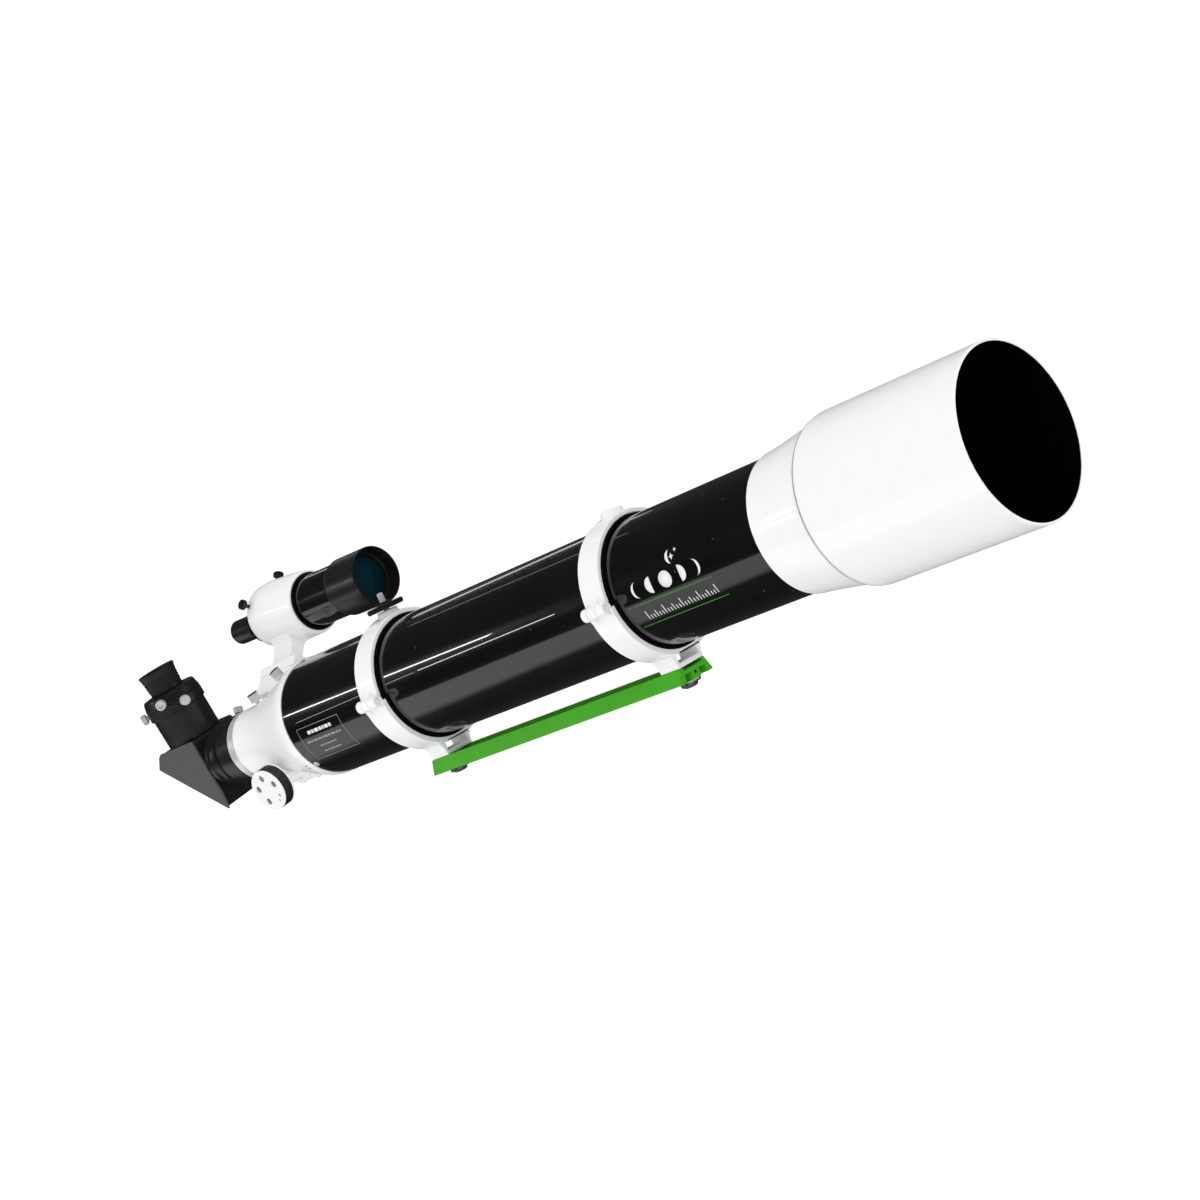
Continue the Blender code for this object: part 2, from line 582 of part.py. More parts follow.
def gear_outline(teeth, module):
    """Side view of the pinion, with a tooth gap facing straight up."""
    tip = module * (teeth / 2 + 1)
    root = module * (teeth / 2 - 1.25)
    step = 2 * math.pi / teeth
    outline = []
    for tooth in range(teeth):
        centre = math.pi / 2 + (tooth + 0.5) * step
        for offset, radius in ((-0.27, root), (-0.09, tip), (0.09, tip), (0.27, root)):
            angle = centre + offset * step
            outline.append((radius * math.cos(angle), radius * math.sin(angle)))
    return outline


def build_rack_and_pinion(roll, drop, paints):
    pitch = math.pi * GEAR_MODULE
    # A rack tooth's middle stands over the pinion, where the pinion has a gap.
    tooth_middle = 0.49 * pitch
    teeth_behind = 4
    rack_start = PINION_X - tooth_middle - teeth_behind * pitch
    outline = rack_outline(RACK_TEETH, GEAR_MODULE, -DRAWTUBE_RADIUS - GAP, 1.2 * MM)
    extruded("focus_rack", outline, "Y", -3.2 * MM, 3.2 * MM, paints["brass"], roll,
             (rack_start, 0, 0))

    pinion = make_frame("pinion_frame", roll, (PINION_X, 0, -drop))
    shaft = extruded("pinion_shaft", gear_outline(PINION_TEETH, GEAR_MODULE), "Y",
                     -5 * MM, 5 * MM, paints["chrome"], pinion)
    join(shaft, turned("shaft_rod", rod_profile(61 * MM, -61 * MM, 3 * MM), None, pinion,
                       direction=(0, 1, 0), steps=SMALL_STEPS))
    for side, outward in (("right", -1), ("left", 1)):
        back = KNOB_FACE_Y - KNOB_THICKNESS
        core = KNOB_RADIUS - 1.9 * MM
        hole = 3 * MM + GAP
        rim = KNOB_RADIUS - 0.4 * MM
        plate = KNOB_FACE_Y - 2 * MM
        profile = [(KNOB_FACE_Y, 0.0), (KNOB_FACE_Y, rim - 0.8 * MM),
                   (KNOB_FACE_Y - 0.8 * MM, rim), (plate, rim), (plate, core),
                   (back + 1.8 * MM, core),
                   (back + 1.8 * MM, KNOB_RADIUS), (back, KNOB_RADIUS), (back, hole),
                   (61.5 * MM, hole), (61.5 * MM, 0.0)]
        turned(side + "_knob", profile, paints["white"], pinion, direction=(0, outward, 0))
        grip = [(plate - GAP, core + GAP), (plate - GAP, KNOB_RADIUS),
                (back + 1.8 * MM + GAP, KNOB_RADIUS),
                (back + 1.8 * MM + GAP, core + GAP)]
        turned(side + "_knob_grip", grip, paints["rubber"], pinion, direction=(0, outward, 0))


# Star diagonal and eyepiece -----------------------------------------------------------------
def build_diagonal(roll, paints):
    frame = make_frame("diagonal_frame", roll, (DIAGONAL_X, 0, 0))
    light_path = 24 * MM
    edge = 2 * MM
    outline = [(HOUSING_FRONT - edge, HOUSING_TOP), (HOUSING_FRONT, HOUSING_TOP - edge),
               (HOUSING_FRONT, -30 * MM), HOUSING_TOE, HOUSING_HEEL,
               (-33 * MM, 31.5 * MM), (-28 * MM, HOUSING_TOP)]
    housing = extruded("diagonal_housing", outline, "Y", -HOUSING_HALF_WIDTH,
                       HOUSING_HALF_WIDTH, paints["grey"], frame)
    cut(housing, turned("light_path_x", rod_profile(40 * MM, -20 * MM, light_path), None,
                        frame, steps=MEDIUM_STEPS))
    cut(housing, turned("light_path_z", rod_profile(40 * MM, -20 * MM, light_path), None,
                        frame, direction=(0, 0, 1), steps=MEDIUM_STEPS))
    # The mirror plane leans at 45 degrees; the recess opens through the slanted back.
    lean = (0, math.radians(45), 0)
    half_wide = 25 * MM
    half_long = 36 * MM
    back_plane = sum(HOUSING_TOE) / math.sqrt(2)
    mirror_thickness = 6 * MM
    cut(housing, block("mirror_recess", (-half_long, -half_wide, back_plane - 10 * MM),
                       (half_long, half_wide, GAP), None, frame, rotation=lean))
    block("diagonal_mirror", (-half_long + GAP, -half_wide + GAP, -mirror_thickness),
          (half_long - GAP, half_wide - GAP, 0), paints["mirror"], frame, rotation=lean)
    block("diagonal_back_cover", (-half_long + GAP, -half_wide + GAP, back_plane),
          (half_long - GAP, half_wide - GAP, -mirror_thickness - GAP), paints["grey"],
          frame, rotation=lean)

    barrel = TWO_INCH - SLIP
    nose = [(79 * MM, light_path), (79 * MM, barrel - 0.6 * MM), (78.4 * MM, barrel),
            (53.4 * MM, barrel), (53.4 * MM, 32 * MM), (52.4 * MM, 33 * MM),
            (47 * MM, 33 * MM), (46 * MM, 30 * MM), (HOUSING_FRONT + GAP, 29.5 * MM),
            (HOUSING_FRONT + GAP, light_path)]
    turned("diagonal_nosepiece", nose, paints["satin"], frame, steps=LARGE_STEPS)

    # Holder, adapter and eyepiece stand on top; their heights are from the housing's top.
    stack = make_frame("holder_frame", frame, (0, 0, HOUSING_TOP))
    holder_bore = TWO_INCH + GAP
    holder_top = 44 * MM
    holder = [(holder_top, holder_bore), (holder_top, 31.7 * MM), (33 * MM, 31.7 * MM),
              (32 * MM, 29.5 * MM), (GAP, 29.5 * MM), (GAP, holder_bore)]
    holder = turned("eyepiece_holder", holder, paints["satin"], stack, direction=(0, 0, 1),
                    steps=LARGE_STEPS)
    adapter_rim = 31.7 * MM
    adapter_base = holder_top + GAP
    adapter_bore = INCH_AND_QUARTER + GAP
    adapter = [(55 * MM, adapter_bore), (55 * MM, 27.5 * MM), (50.5 * MM, adapter_rim),
               (adapter_base, adapter_rim), (adapter_base, barrel), (15 * MM, barrel),
               (15 * MM, adapter_bore)]
    adapter = turned("eyepiece_adapter", adapter, paints["satin"], stack, direction=(0, 0, 1),
                     steps=LARGE_STEPS)

    # Screws that clamp the adapter and the eyepiece; azimuth from +X towards the right side.
    for name, part, azimuth, height, reach in (
            ("holder_screw_front", holder, 20, 39.8 * MM, 5.6 * MM),
            ("holder_screw_rear", holder, 134, 39.8 * MM, 5.6 * MM),
            ("adapter_screw", adapter, 58, 47.8 * MM, 15 * MM)):
        turn = math.radians(azimuth)
        direction = (math.cos(turn), -math.sin(turn), 0)
        seat = (adapter_rim * direction[0], adapter_rim * direction[1], height)
        drill(part, name + "_bore", stack, seat, direction, 2 * MM + SLIP, 4 * MM, 20 * MM)
        thumbscrew(name, paints["chrome"], stack, seat, direction, 5.4 * MM, 6 * MM, 2.4 * MM,
                   reach)

    tail = INCH_AND_QUARTER - SLIP
    eyepiece = [(71 * MM, 10.6 * MM), (71 * MM, 14 * MM), (70 * MM, 15 * MM),
                (57.4 * MM, 15 * MM), (57.4 * MM, 18 * MM), (55.6 * MM, 18 * MM),
                (55.6 * MM, tail), (27 * MM, tail), (27 * MM, 14 * MM),
                (64.5 * MM, 14 * MM), (65.5 * MM, 9.6 * MM), (66.2 * MM, 9.6 * MM),
                (66.2 * MM, 10.6 * MM)]
    turned("eyepiece_body", eyepiece, paints["satin"], stack, direction=(0, 0, 1))
    turned("eye_lens", lens_profile(70 * MM, 66.6 * MM, 10.2 * MM, 0.8 * MM, 0.2 * MM),
           paints["glass"], stack, direction=(0, 0, 1), steps=SMALL_STEPS)
    cup = [(80 * MM, 19.2 * MM), (80 * MM, 20 * MM), (78.6 * MM, 20 * MM),
           (67 * MM, 18.6 * MM), (57.8 * MM, 18.2 * MM), (57.8 * MM, 15.3 * MM),
           (72 * MM, 15.3 * MM)]
    turned("eyecup", cup, paints["rubber"], stack, direction=(0, 0, 1))


# Finder -------------------------------------------------------------------------------------
def build_finder(finder_frame, paints):
    rail_top = 72 * MM
    shoe_outline = [(-16 * MM, SHOE_BASE + GAP), (16 * MM, SHOE_BASE + GAP),
                    (16 * MM, rail_top), (10.6 * MM, rail_top), (12.8 * MM, 65.5 * MM),
                    (-12.8 * MM, 65.5 * MM), (-10.6 * MM, rail_top), (-16 * MM, rail_top)]
    shoe = extruded("finder_shoe", shoe_outline, "X", SHOE_REAR, SHOE_FRONT, paints["satin"],
                    finder_frame)
    screw_x = -364 * MM
    screw_seat = (screw_x, 16 * MM, 69 * MM)
    drill(shoe, "shoe_screw_bore", finder_frame, screw_seat, (0, 1, 0), 2 * MM + SLIP,
          5 * MM, 7 * MM)
    thumbscrew("shoe_clamp_screw", paints["chrome"], finder_frame, screw_seat, (0, 1, 0),
               5 * MM, 7 * MM, 2 * MM, 3.6 * MM)

    # Bracket: dovetail foot, stalk and a leaning barrel that is open at both ends.
    centre = FINDER_OFFSET
    pivot = (FINDER_PIVOT_X, 0, centre)
    barrel_axis = (1, BARREL_SWING, BARREL_RISE)
    barrel = [(-343 * MM, 28.6 * MM), (-343 * MM, 32.4 * MM), (-346 * MM, 33.6 * MM),
              (-356 * MM, 34.2 * MM), (-376 * MM, 34.9 * MM), (-396 * MM, 35 * MM),
              (-406 * MM, 34.4 * MM), (-414 * MM, 33 * MM), (-418.5 * MM, 31.2 * MM),
              (-420 * MM, 29.4 * MM), (-420 * MM, 28.4 * MM), (-412 * MM, 29.6 * MM),
              (-404 * MM, 31 * MM), (-392 * MM, 31.8 * MM), (-376 * MM, 31.8 * MM),
              (-358 * MM, 31 * MM), (-348 * MM, 30 * MM), (-348 * MM, 28.6 * MM)]
    bracket = turned("finder_bracket", [(x - FINDER_PIVOT_X, r) for x, r in barrel],
                     paints["white"], finder_frame, pivot, barrel_axis, LARGE_STEPS)
    stalk_outline = [(-13 * MM, centre - 30 * MM), (-8 * MM, 92 * MM), (-7.5 * MM, 73 * MM),
                     (7.5 * MM, 73 * MM), (8 * MM, 92 * MM), (13 * MM, centre - 30 * MM)]
    stalk = extruded("stalk", stalk_outline, "X", -402 * MM, -370 * MM, None, finder_frame)
    hollow = turned("stalk_hollow", rod_profile(-5 * MM, -75 * MM, 32.6 * MM), None,
                    finder_frame, pivot, barrel_axis, LARGE_STEPS)
    cut(stalk, hollow)
    join(bracket, stalk)
    foot_outline = [(-7.5 * MM, 76 * MM), (-12 * MM, rail_top + SLIP),
                    (-10.1 * MM, rail_top + SLIP), (-12.2 * MM, 65.9 * MM),
                    (12.2 * MM, 65.9 * MM), (10.1 * MM, rail_top + SLIP),
                    (12 * MM, rail_top + SLIP), (7.5 * MM, 76 * MM)]
    join(bracket, extruded("foot", foot_outline, "X", SHOE_REAR + 2 * MM, -360 * MM, None,
                           finder_frame))

    # Scope, tilted about the rubber ring at the bracket's mouth.
    scope = make_frame("scope_frame", finder_frame, (FINDER_PIVOT_X, 0, centre),
                       (0, FINDER_TILT, 0))
    ahead = -FINDER_PIVOT_X
    tail_radius = 21.5 * MM
    thread = 26.4 * MM
    body = [(-268 * MM, 24 * MM), (-268 * MM, thread), (-288.5 * MM, thread),
            (-288.5 * MM, 27.4 * MM), (-349 * MM, 27.4 * MM), (-350 * MM, tail_radius),
            (-436 * MM, tail_radius), (-440 * MM, 17 * MM), (-440 * MM, 12.4 * MM),
            (-432 * MM, 12.4 * MM), (-432 * MM, 19 * MM), (-354 * MM, 19 * MM),
            (-346 * MM, 25 * MM), (-286 * MM, 25 * MM)]
    turned("finder_tube", [(x + ahead, r) for x, r in body], paints["black"], scope)
    cell = [(-237 * MM, 28.4 * MM), (-237 * MM, 29.6 * MM), (-237.6 * MM, 30.2 * MM),
            (-283 * MM, 30.2 * MM), (-288 * MM, 29 * MM), (-288 * MM, thread + 2 * SLIP),
            (-263.6 * MM, thread + 2 * SLIP), (-263.6 * MM, 26.3 * MM), (-256.4 * MM, 26.3 * MM),
            (-256.4 * MM, 24.6 * MM), (-254.4 * MM, 24.6 * MM), (-254.4 * MM, 28.4 * MM)]
    turned("finder_cell", [(x + ahead, r) for x, r in cell], paints["satin"], scope)
    lens = lens_profile(-256.8 * MM + ahead, -262.8 * MM + ahead, 26 * MM, 1.4 * MM, 1.2 * MM)
    turned("finder_objective", lens, paints["glass"], scope)
    eye = [(-424 * MM, 9.5 * MM), (-424 * MM, 12 * MM), (-440.4 * MM, 12 * MM),
           (-440.4 * MM, 13 * MM), (-478 * MM, 13 * MM), (-480.5 * MM, 11.8 * MM),
           (-480.5 * MM, 8.5 * MM), (-476 * MM, 9.5 * MM)]
    turned("finder_eyepiece", [(x + ahead, r) for x, r in eye], paints["satin"], scope)

    # Two adjusting screws and the sprung plunger that they push the scope against.
    lever = FINDER_PIVOT_X - FINDER_SCREW_X
    barrel_y = -BARREL_SWING * lever
    barrel_z = -BARREL_RISE * lever
    scope_y = -barrel_y
    scope_z = lever * math.sin(FINDER_TILT) - barrel_z
    surface = 34 * MM
    for name, azimuth, head, lift in (("finder_screw_top", 0, 5.4 * MM, 8 * MM),
                                      ("finder_screw_side", -90, 5.4 * MM, 5 * MM),
                                      ("finder_plunger", 135, 4.2 * MM, 3 * MM)):
        turn = math.radians(azimuth)
        across = math.sin(turn)
        up = math.cos(turn)
        ahead_of_axis = scope_y * across + scope_z * up
        beside_axis = scope_y * up - scope_z * across
        tip = ahead_of_axis + math.sqrt(tail_radius ** 2 - beside_axis ** 2) + SLIP
        seat = (FINDER_SCREW_X, barrel_y + surface * across, centre + barrel_z + surface * up)
        drill(bracket, name + "_bore", finder_frame, seat, (0, across, up), 2 * MM + SLIP,
              6 * MM, 6 * MM)
        thumbscrew(name, paints["satin"], finder_frame, seat, (0, across, up), head, 5.5 * MM,
                   lift, surface - tip)


def main():
    clear_scene()
    make_collection(COLLECTION)
    make_collection(CUTTERS)
    paints = make_materials()
    axis_frame = make_frame("axis_frame", None, (0, 0, AXIS_HEIGHT))
    roll = make_frame("tube_roll", axis_frame, rotation=(TUBE_ROLL, 0, 0))
    finder_frame = make_frame("finder_frame", roll, rotation=(-FINDER_AZIMUTH, 0, 0))
    build_bar(paints)
    uppers = {end: build_ring(end, rear_edge, axis_frame, paints)
              for end, rear_edge in RING_REAR_EDGES.items()}
    build_piggyback(uppers["rear"], axis_frame, paints)
    build_tube(roll, paints)
    drop = build_focuser(roll, finder_frame, paints)
    build_rack_and_pinion(roll, drop, paints)
    build_diagonal(roll, paints)
    build_finder(finder_frame, paints)


main()
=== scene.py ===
"""Looks for the refractor telescope: detailed pieces, procedural materials, light and camera.

Lengths are metres in the row frame: +X towards the sky along the optical axis, +Y the
observer's left, +Z up, with the origin at the centre of the dovetail bar's underside.
"""

import json
import math

import bmesh
import bpy
from mathutils import Euler, Matrix, Vector


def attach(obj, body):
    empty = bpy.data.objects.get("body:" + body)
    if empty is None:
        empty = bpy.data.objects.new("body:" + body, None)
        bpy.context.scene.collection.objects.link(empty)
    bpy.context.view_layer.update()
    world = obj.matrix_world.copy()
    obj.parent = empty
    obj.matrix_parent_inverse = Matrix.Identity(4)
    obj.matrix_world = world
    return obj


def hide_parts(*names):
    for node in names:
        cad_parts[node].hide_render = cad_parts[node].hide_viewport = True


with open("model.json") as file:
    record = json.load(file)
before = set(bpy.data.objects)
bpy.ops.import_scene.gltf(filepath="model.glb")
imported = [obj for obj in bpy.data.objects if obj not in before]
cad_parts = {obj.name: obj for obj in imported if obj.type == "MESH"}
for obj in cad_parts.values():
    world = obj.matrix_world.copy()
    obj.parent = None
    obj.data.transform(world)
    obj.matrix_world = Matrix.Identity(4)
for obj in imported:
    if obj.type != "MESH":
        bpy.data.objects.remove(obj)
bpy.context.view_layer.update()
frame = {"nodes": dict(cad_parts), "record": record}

MM = 0.001
AXIS_HEIGHT = 92 * MM
TUBE_RADIUS = 60 * MM
TUBE_REAR = -304 * MM
TUBE_FRONT = 356 * MM
RING_REAR_EDGES = {"rear": -173 * MM, "front": 151.5 * MM}
RING_UPPER_WIDTH = 26 * MM
RING_LOWER_WIDTH = 29 * MM
RING_OUTER = 67.5 * MM
RING_INNER = 62.6 * MM
HINGE_Y = -71 * MM
CLAMP_Y = 79 * MM
BAR_HEIGHT = 14 * MM
BAR_HALF_LENGTH = 175 * MM
PINION_X = -370.5 * MM
PINION_DROP = 35.7 * MM
DIAGONAL_X = -519 * MM
FINDER_OFFSET = 132.6 * MM
FINDER_PIVOT_X = -345 * MM

AXIS = Matrix.Translation((0, 0, AXIS_HEIGHT))
ROLL = AXIS @ Matrix.Rotation(math.radians(7), 4, "X")
PINION = ROLL @ Matrix.Translation((PINION_X, 0, -PINION_DROP))
DIAGONAL = ROLL @ Matrix.Translation((DIAGONAL_X, 0, 0))
FINDER = ROLL @ Matrix.Rotation(math.radians(-42), 4, "X")
BARREL_AXIS = (1, 0.033, -0.048)
SMOOTH_ANGLE = math.radians(38)
BEVEL_ANGLE = math.radians(32)
SCOPE = (FINDER @ Matrix.Translation((FINDER_PIVOT_X, 0, FINDER_OFFSET))
         @ Matrix.Rotation(math.radians(1.5), 4, "Y"))


# Materials ----------------------------------------------------------------------------------
def add_node(tree, kind, **inputs):
    """A new shader node; each keyword is an input's name, with _ for a space."""
    made = tree.nodes.new("ShaderNode" + kind)
    for name, value in inputs.items():
        made.inputs[name.replace("_", " ")].default_value = value
    return made


def add_ramp(tree, factor, stops):
    """A colour ramp over (position, colour) stops, driven by factor; returns its output."""
    ramp = add_node(tree, "ValToRGB")
    elements = ramp.color_ramp.elements
    while len(elements) < len(stops):
        elements.new(0.5)
    for element, (position, colour) in zip(elements, stops):
        element.position = position
        element.color = (*colour, 1)
    tree.links.new(factor, ramp.inputs["Fac"])
    return ramp.outputs["Color"]


def add_mix(tree, factor, first, second, blend_type="MIX"):
    """Mix two colours. The factor and each colour are a value or another node's output."""
    mix = add_node(tree, "MixRGB")
    mix.blend_type = blend_type
    for socket, value in (("Fac", factor), ("Color1", first), ("Color2", second)):
        if isinstance(value, bpy.types.NodeSocket):
            tree.links.new(value, mix.inputs[socket])
        else:
            mix.inputs[socket].default_value = value
    return mix.outputs["Color"]


def make_paint(name, colour, roughness, metallic=0.0, coat=0.0, grain=60.0, variation=0.04,
               bump=0.02, fleck=None, specular=0.5, coat_roughness=0.01):
    """A painted, plated or moulded surface with slight unevenness in colour and gloss.

    fleck = (cells per metre, share of cells that are flecks, how much lighter they are).
    """
    material = bpy.data.materials.new(name)
    material.use_nodes = True
    tree = material.node_tree
    links = tree.links
    shader = tree.nodes["Principled BSDF"]
    for socket, value in (("Metallic", metallic), ("Coat Weight", coat),
                          ("Coat Roughness", coat_roughness), ("Specular IOR Level", specular)):
        shader.inputs[socket].default_value = value
    place = add_node(tree, "TexCoord").outputs["Object"]
    noise = add_node(tree, "TexNoise", Scale=grain, Detail=4.0)
    links.new(place, noise.inputs["Vector"])
    dark = [channel * (1 - variation) for channel in colour]
    light = [min(1.0, channel * (1 + variation)) for channel in colour]
    tint = add_ramp(tree, noise.outputs["Fac"], ((0.3, dark), (0.7, light)))
    if fleck:
        size, share, shade = fleck
        cells = add_node(tree, "TexVoronoi", Scale=size)
        links.new(place, cells.inputs["Vector"])
        pick = add_ramp(tree, cells.outputs["Color"],
                        ((1 - share, (0, 0, 0)), (min(1.0, 1 - share * 0.6), [shade] * 3)))
        tint = add_mix(tree, 1.0, tint, pick, "ADD")
    links.new(tint, shader.inputs["Base Color"])
    gloss = add_node(tree, "MapRange", To_Min=roughness * 0.85, To_Max=roughness * 1.15)
    links.new(noise.outputs["Fac"], gloss.inputs["Value"])
    links.new(gloss.outputs["Result"], shader.inputs["Roughness"])
    if bump:
        relief = add_node(tree, "Bump", Strength=bump, Distance=0.2 * MM)
        fine = add_node(tree, "TexNoise", Scale=grain * 12)
        links.new(place, fine.inputs["Vector"])
        links.new(fine.outputs["Fac"], relief.inputs["Height"])
        links.new(relief.outputs["Normal"], shader.inputs["Normal"])
    return material


def make_glass(name, colour, depth_colour):
    """Dark coated glass: deep colour seen straight on, the first colour seen aslant."""
    material = make_paint(name, colour, 0.04, coat=1.0, grain=25.0, variation=0.5, bump=0)
    tree = material.node_tree
    base = tree.nodes["Principled BSDF"].inputs["Base Color"]
    aslant = add_node(tree, "LayerWeight", Blend=0.35).outputs["Facing"]
    mixed = add_mix(tree, aslant, (*depth_colour, 1), base.links[0].from_socket)
    tree.links.new(mixed, base)
    return material


def grey(shade):
    return (shade, shade, shade)


PAINT_RECIPES = {
    "white_enamel": dict(colour=grey(0.90), roughness=0.38, coat=0.5, variation=0.008,
                         coat_roughness=0.1),
    "black_gloss_paint": dict(colour=(0.0028, 0.0028, 0.003), roughness=0.22, coat=1.0,
                              grain=14.0, variation=0.3, bump=0.01,
                              fleck=(700.0, 0.035, 0.07), specular=0.15),
    "black_anodised": dict(colour=(0.010, 0.010, 0.011), roughness=0.30, variation=0.2,
                           grain=90.0),
    "dark_grey_plastic": dict(colour=(0.085, 0.085, 0.086), roughness=0.5, variation=0.06,
                              grain=120.0, bump=0.12, specular=0.3),
    "green_anodised": dict(colour=(0.055, 0.42, 0.004), roughness=0.42, variation=0.05,
                           grain=45.0, bump=0.05, specular=0.3),
    "chrome": dict(colour=grey(0.80), roughness=0.36, metallic=0.55, variation=0.03),
    "brass": dict(colour=(0.75, 0.55, 0.25), roughness=0.3, metallic=1.0),
    "black_felt": dict(colour=grey(0.004), roughness=0.95, grain=400.0, variation=0.4,
                       bump=0.6, specular=0.05),
    "black_rubber": dict(colour=grey(0.010), roughness=0.5, grain=200.0, variation=0.15,
                         bump=0.15),
    "mirror": dict(colour=(0.92, 0.92, 0.94), roughness=0.03, metallic=1.0, variation=0.01,
                   bump=0),
}
PAINT = {name: make_paint(name, **recipe) for name, recipe in PAINT_RECIPES.items()}
PAINT["coated_glass"] = make_glass("coated_glass", (0.0, 0.045, 0.06), (0.0, 0.014, 0.022))
EXTRA_RECIPES = {
    # Matt black for linings, and also painted shade where it fills the holes in the bar's ends.
    "matt_black_lining_and_hole_shade": dict(colour=grey(0.0008), roughness=0.95, variation=0.2, bump=0.2,
                              specular=0.02),
    "print_white": dict(colour=grey(0.85), roughness=0.4, variation=0.01),
    "print_green": dict(colour=(0.06, 0.27, 0.035), roughness=0.4, variation=0.03),
    "print_grey": dict(colour=grey(0.33), roughness=0.5, variation=0.03),
    # Painted shade: a blotchy grey that stands for the shade in the knobs' dimples.
    "dimple_shade_grey": dict(colour=grey(0.22), roughness=0.6, variation=0.6, grain=500.0),
    "steel_dark": dict(colour=grey(0.30), roughness=0.3, metallic=0.9, variation=0.1),
}
EXTRA = {name: make_paint(name, **recipe) for name, recipe in EXTRA_RECIPES.items()}
EXTRA["black_glass"] = make_glass("black_glass", (0.001, 0.002, 0.003), grey(0.0005))


# Shape helpers ------------------------------------------------------------------------------
def mm(*points):
    """Points given in millimetres, as metres."""
    return [(a * MM, b * MM) for a, b in points]


def soften(profile, radius):
    """Round the corners of a profile of (station, radius) points with small arcs."""
    slight_bend = math.radians(12)
    shortest_arc = 0.02 * MM
    share_of_edge = 0.45
    steps = 3
    if radius == 0:
        return list(profile)
    closed = all(r > 0 for _, r in profile)
    points = [Vector(point) for point in profile]
    count = len(points)
    rounded = []
    for index, point in enumerate(points):
        if not closed and index in (0, count - 1):
            rounded.append(tuple(point))
            continue
        before = points[index - 1] - point
        after = points[(index + 1) % count] - point
        reach = min(radius, before.length * share_of_edge, after.length * share_of_edge)
        bend = math.pi - before.angle(after, math.pi)
        if bend < slight_bend or reach < shortest_arc:
            rounded.append(tuple(point))
            continue
        start = point + before.normalized() * reach
        end = point + after.normalized() * reach
        for step in range(steps + 1):
            t = step / steps
            rounded.append(tuple(start * (1 - t) ** 2 + point * 2 * t * (1 - t) + end * t * t))
    return rounded


def along(base, origin, direction):
    """Matrix with its +Z along direction, from origin, both given in the base frame."""
    turn = Vector(direction).to_track_quat("Z", "Y").to_matrix().to_4x4()
    return base @ Matrix.Translation(origin) @ turn


def around(degrees):
    """Direction across the X axis, turned by degrees from +Z towards +Y."""
    turn = math.radians(degrees)
    return (0, math.sin(turn), math.cos(turn))


def as_mesh(name, shell):
    bmesh.ops.recalc_face_normals(shell, faces=shell.faces[:])
    mesh = bpy.data.meshes.new(name)
    shell.to_mesh(mesh)
    shell.free()
    mesh.shade_smooth()
    return mesh


def publish(name, mesh, paint, place, body, replaces=()):
    """Make the piece, place it, and say what it rides on and stands for."""
    mesh.transform(place)
    obj = bpy.data.objects.new(name, mesh)
    bpy.context.scene.collection.objects.link(obj)
    mesh.materials.clear()
    mesh.materials.append(PAINT.get(paint) or EXTRA[paint])
    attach(obj, body)
    if replaces:
        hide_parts(*replaces)
    return obj


def turned(name, profile, paint, place, body, replaces=(), steps=96, soft=0.4 * MM,
           grip=None):
    """Turn a profile about the place's +Z. grip = (low, high, ridge count, depth)."""
    rows = soften(profile, soft)
    closed = all(r > 0 for _, r in profile)
    if grip:
        grip_low, grip_high, ridges, depth = grip
        steps_per_ridge = 4
        steps = ridges * steps_per_ridge
        outermost = max(r for _, r in profile) - 2 * depth
    shell = bmesh.new()
    rings = []
    for station, radius in rows:
        if radius < 1e-6:
            rings.append([shell.verts.new((0, 0, station))])
            continue
        ring = []
        ridged = grip and grip_low <= station <= grip_high and radius > outermost
        for index in range(steps):
            angle = 2 * math.pi * index / steps
            here = radius
            if ridged and index % steps_per_ridge < steps_per_ridge / 2:
                here -= depth
            ring.append(shell.verts.new((here * math.cos(angle), here * math.sin(angle),
                                         station)))
        rings.append(ring)
    pairs = list(zip(rings, rings[1:]))
    if closed:
        pairs.append((rings[-1], rings[0]))
    for first, second in pairs:
        for index in range(steps):
            after = (index + 1) % steps
            if len(first) == 1 and len(second) == 1:
                continue
            if len(first) == 1:
                shell.faces.new((first[0], second[after], second[index]))
            elif len(second) == 1:
                shell.faces.new((first[index], first[after], second[0]))
            else:
                shell.faces.new((first[index], first[after], second[after], second[index]))
    mesh = as_mesh(name, shell)
    mesh.set_sharp_from_angle(angle=SMOOTH_ANGLE)
    obj = publish(name, mesh, paint, place, body, replaces)
    flat = obj.modifiers.new("flat faces", "WEIGHTED_NORMAL")
    flat.keep_sharp = True
    return obj


def slab(name, outline, axis, start, end, paint, place, body, replaces=(), bevel=0.5 * MM):
    """Extrude an outline along X (points are Y, Z), Y (X, Z) or Z (X, Y), with soft edges."""
    shell = bmesh.new()
    order = {"X": lambda a, b: (start, a, b), "Y": lambda a, b: (a, start, b),
             "Z": lambda a, b: (a, b, start)}[axis]
    face = shell.faces.new([shell.verts.new(order(a, b)) for a, b in outline])
    swept = bmesh.ops.extrude_face_region(shell, geom=[face])
    moved = [item for item in swept["geom"] if isinstance(item, bmesh.types.BMVert)]
    shift = Vector((axis == "X", axis == "Y", axis == "Z")) * (end - start)
    bmesh.ops.translate(shell, verts=moved, vec=shift)
    obj = publish(name, as_mesh(name, shell), paint, place, body, replaces)
    if bevel:
        edge = obj.modifiers.new("soft edges", "BEVEL")
        edge.width = bevel
        edge.segments = 3
        edge.limit_method = "ANGLE"
        edge.angle_limit = BEVEL_ANGLE
        edge.harden_normals = True
    return obj


def box_outline(low, high):
    """A rectangle's corners, from its lowest and highest points."""
    return [(low[0], low[1]), (high[0], low[1]), (high[0], high[1]), (low[0], high[1])]


def arc(radius, start, end, count):
    """Points on a circle about the origin, from start to end in degrees."""
    points = []
    for index in range(count + 1):
        angle = math.radians(start + (end - start) * index / count)
        points.append((radius * math.cos(angle), radius * math.sin(angle)))
    return points


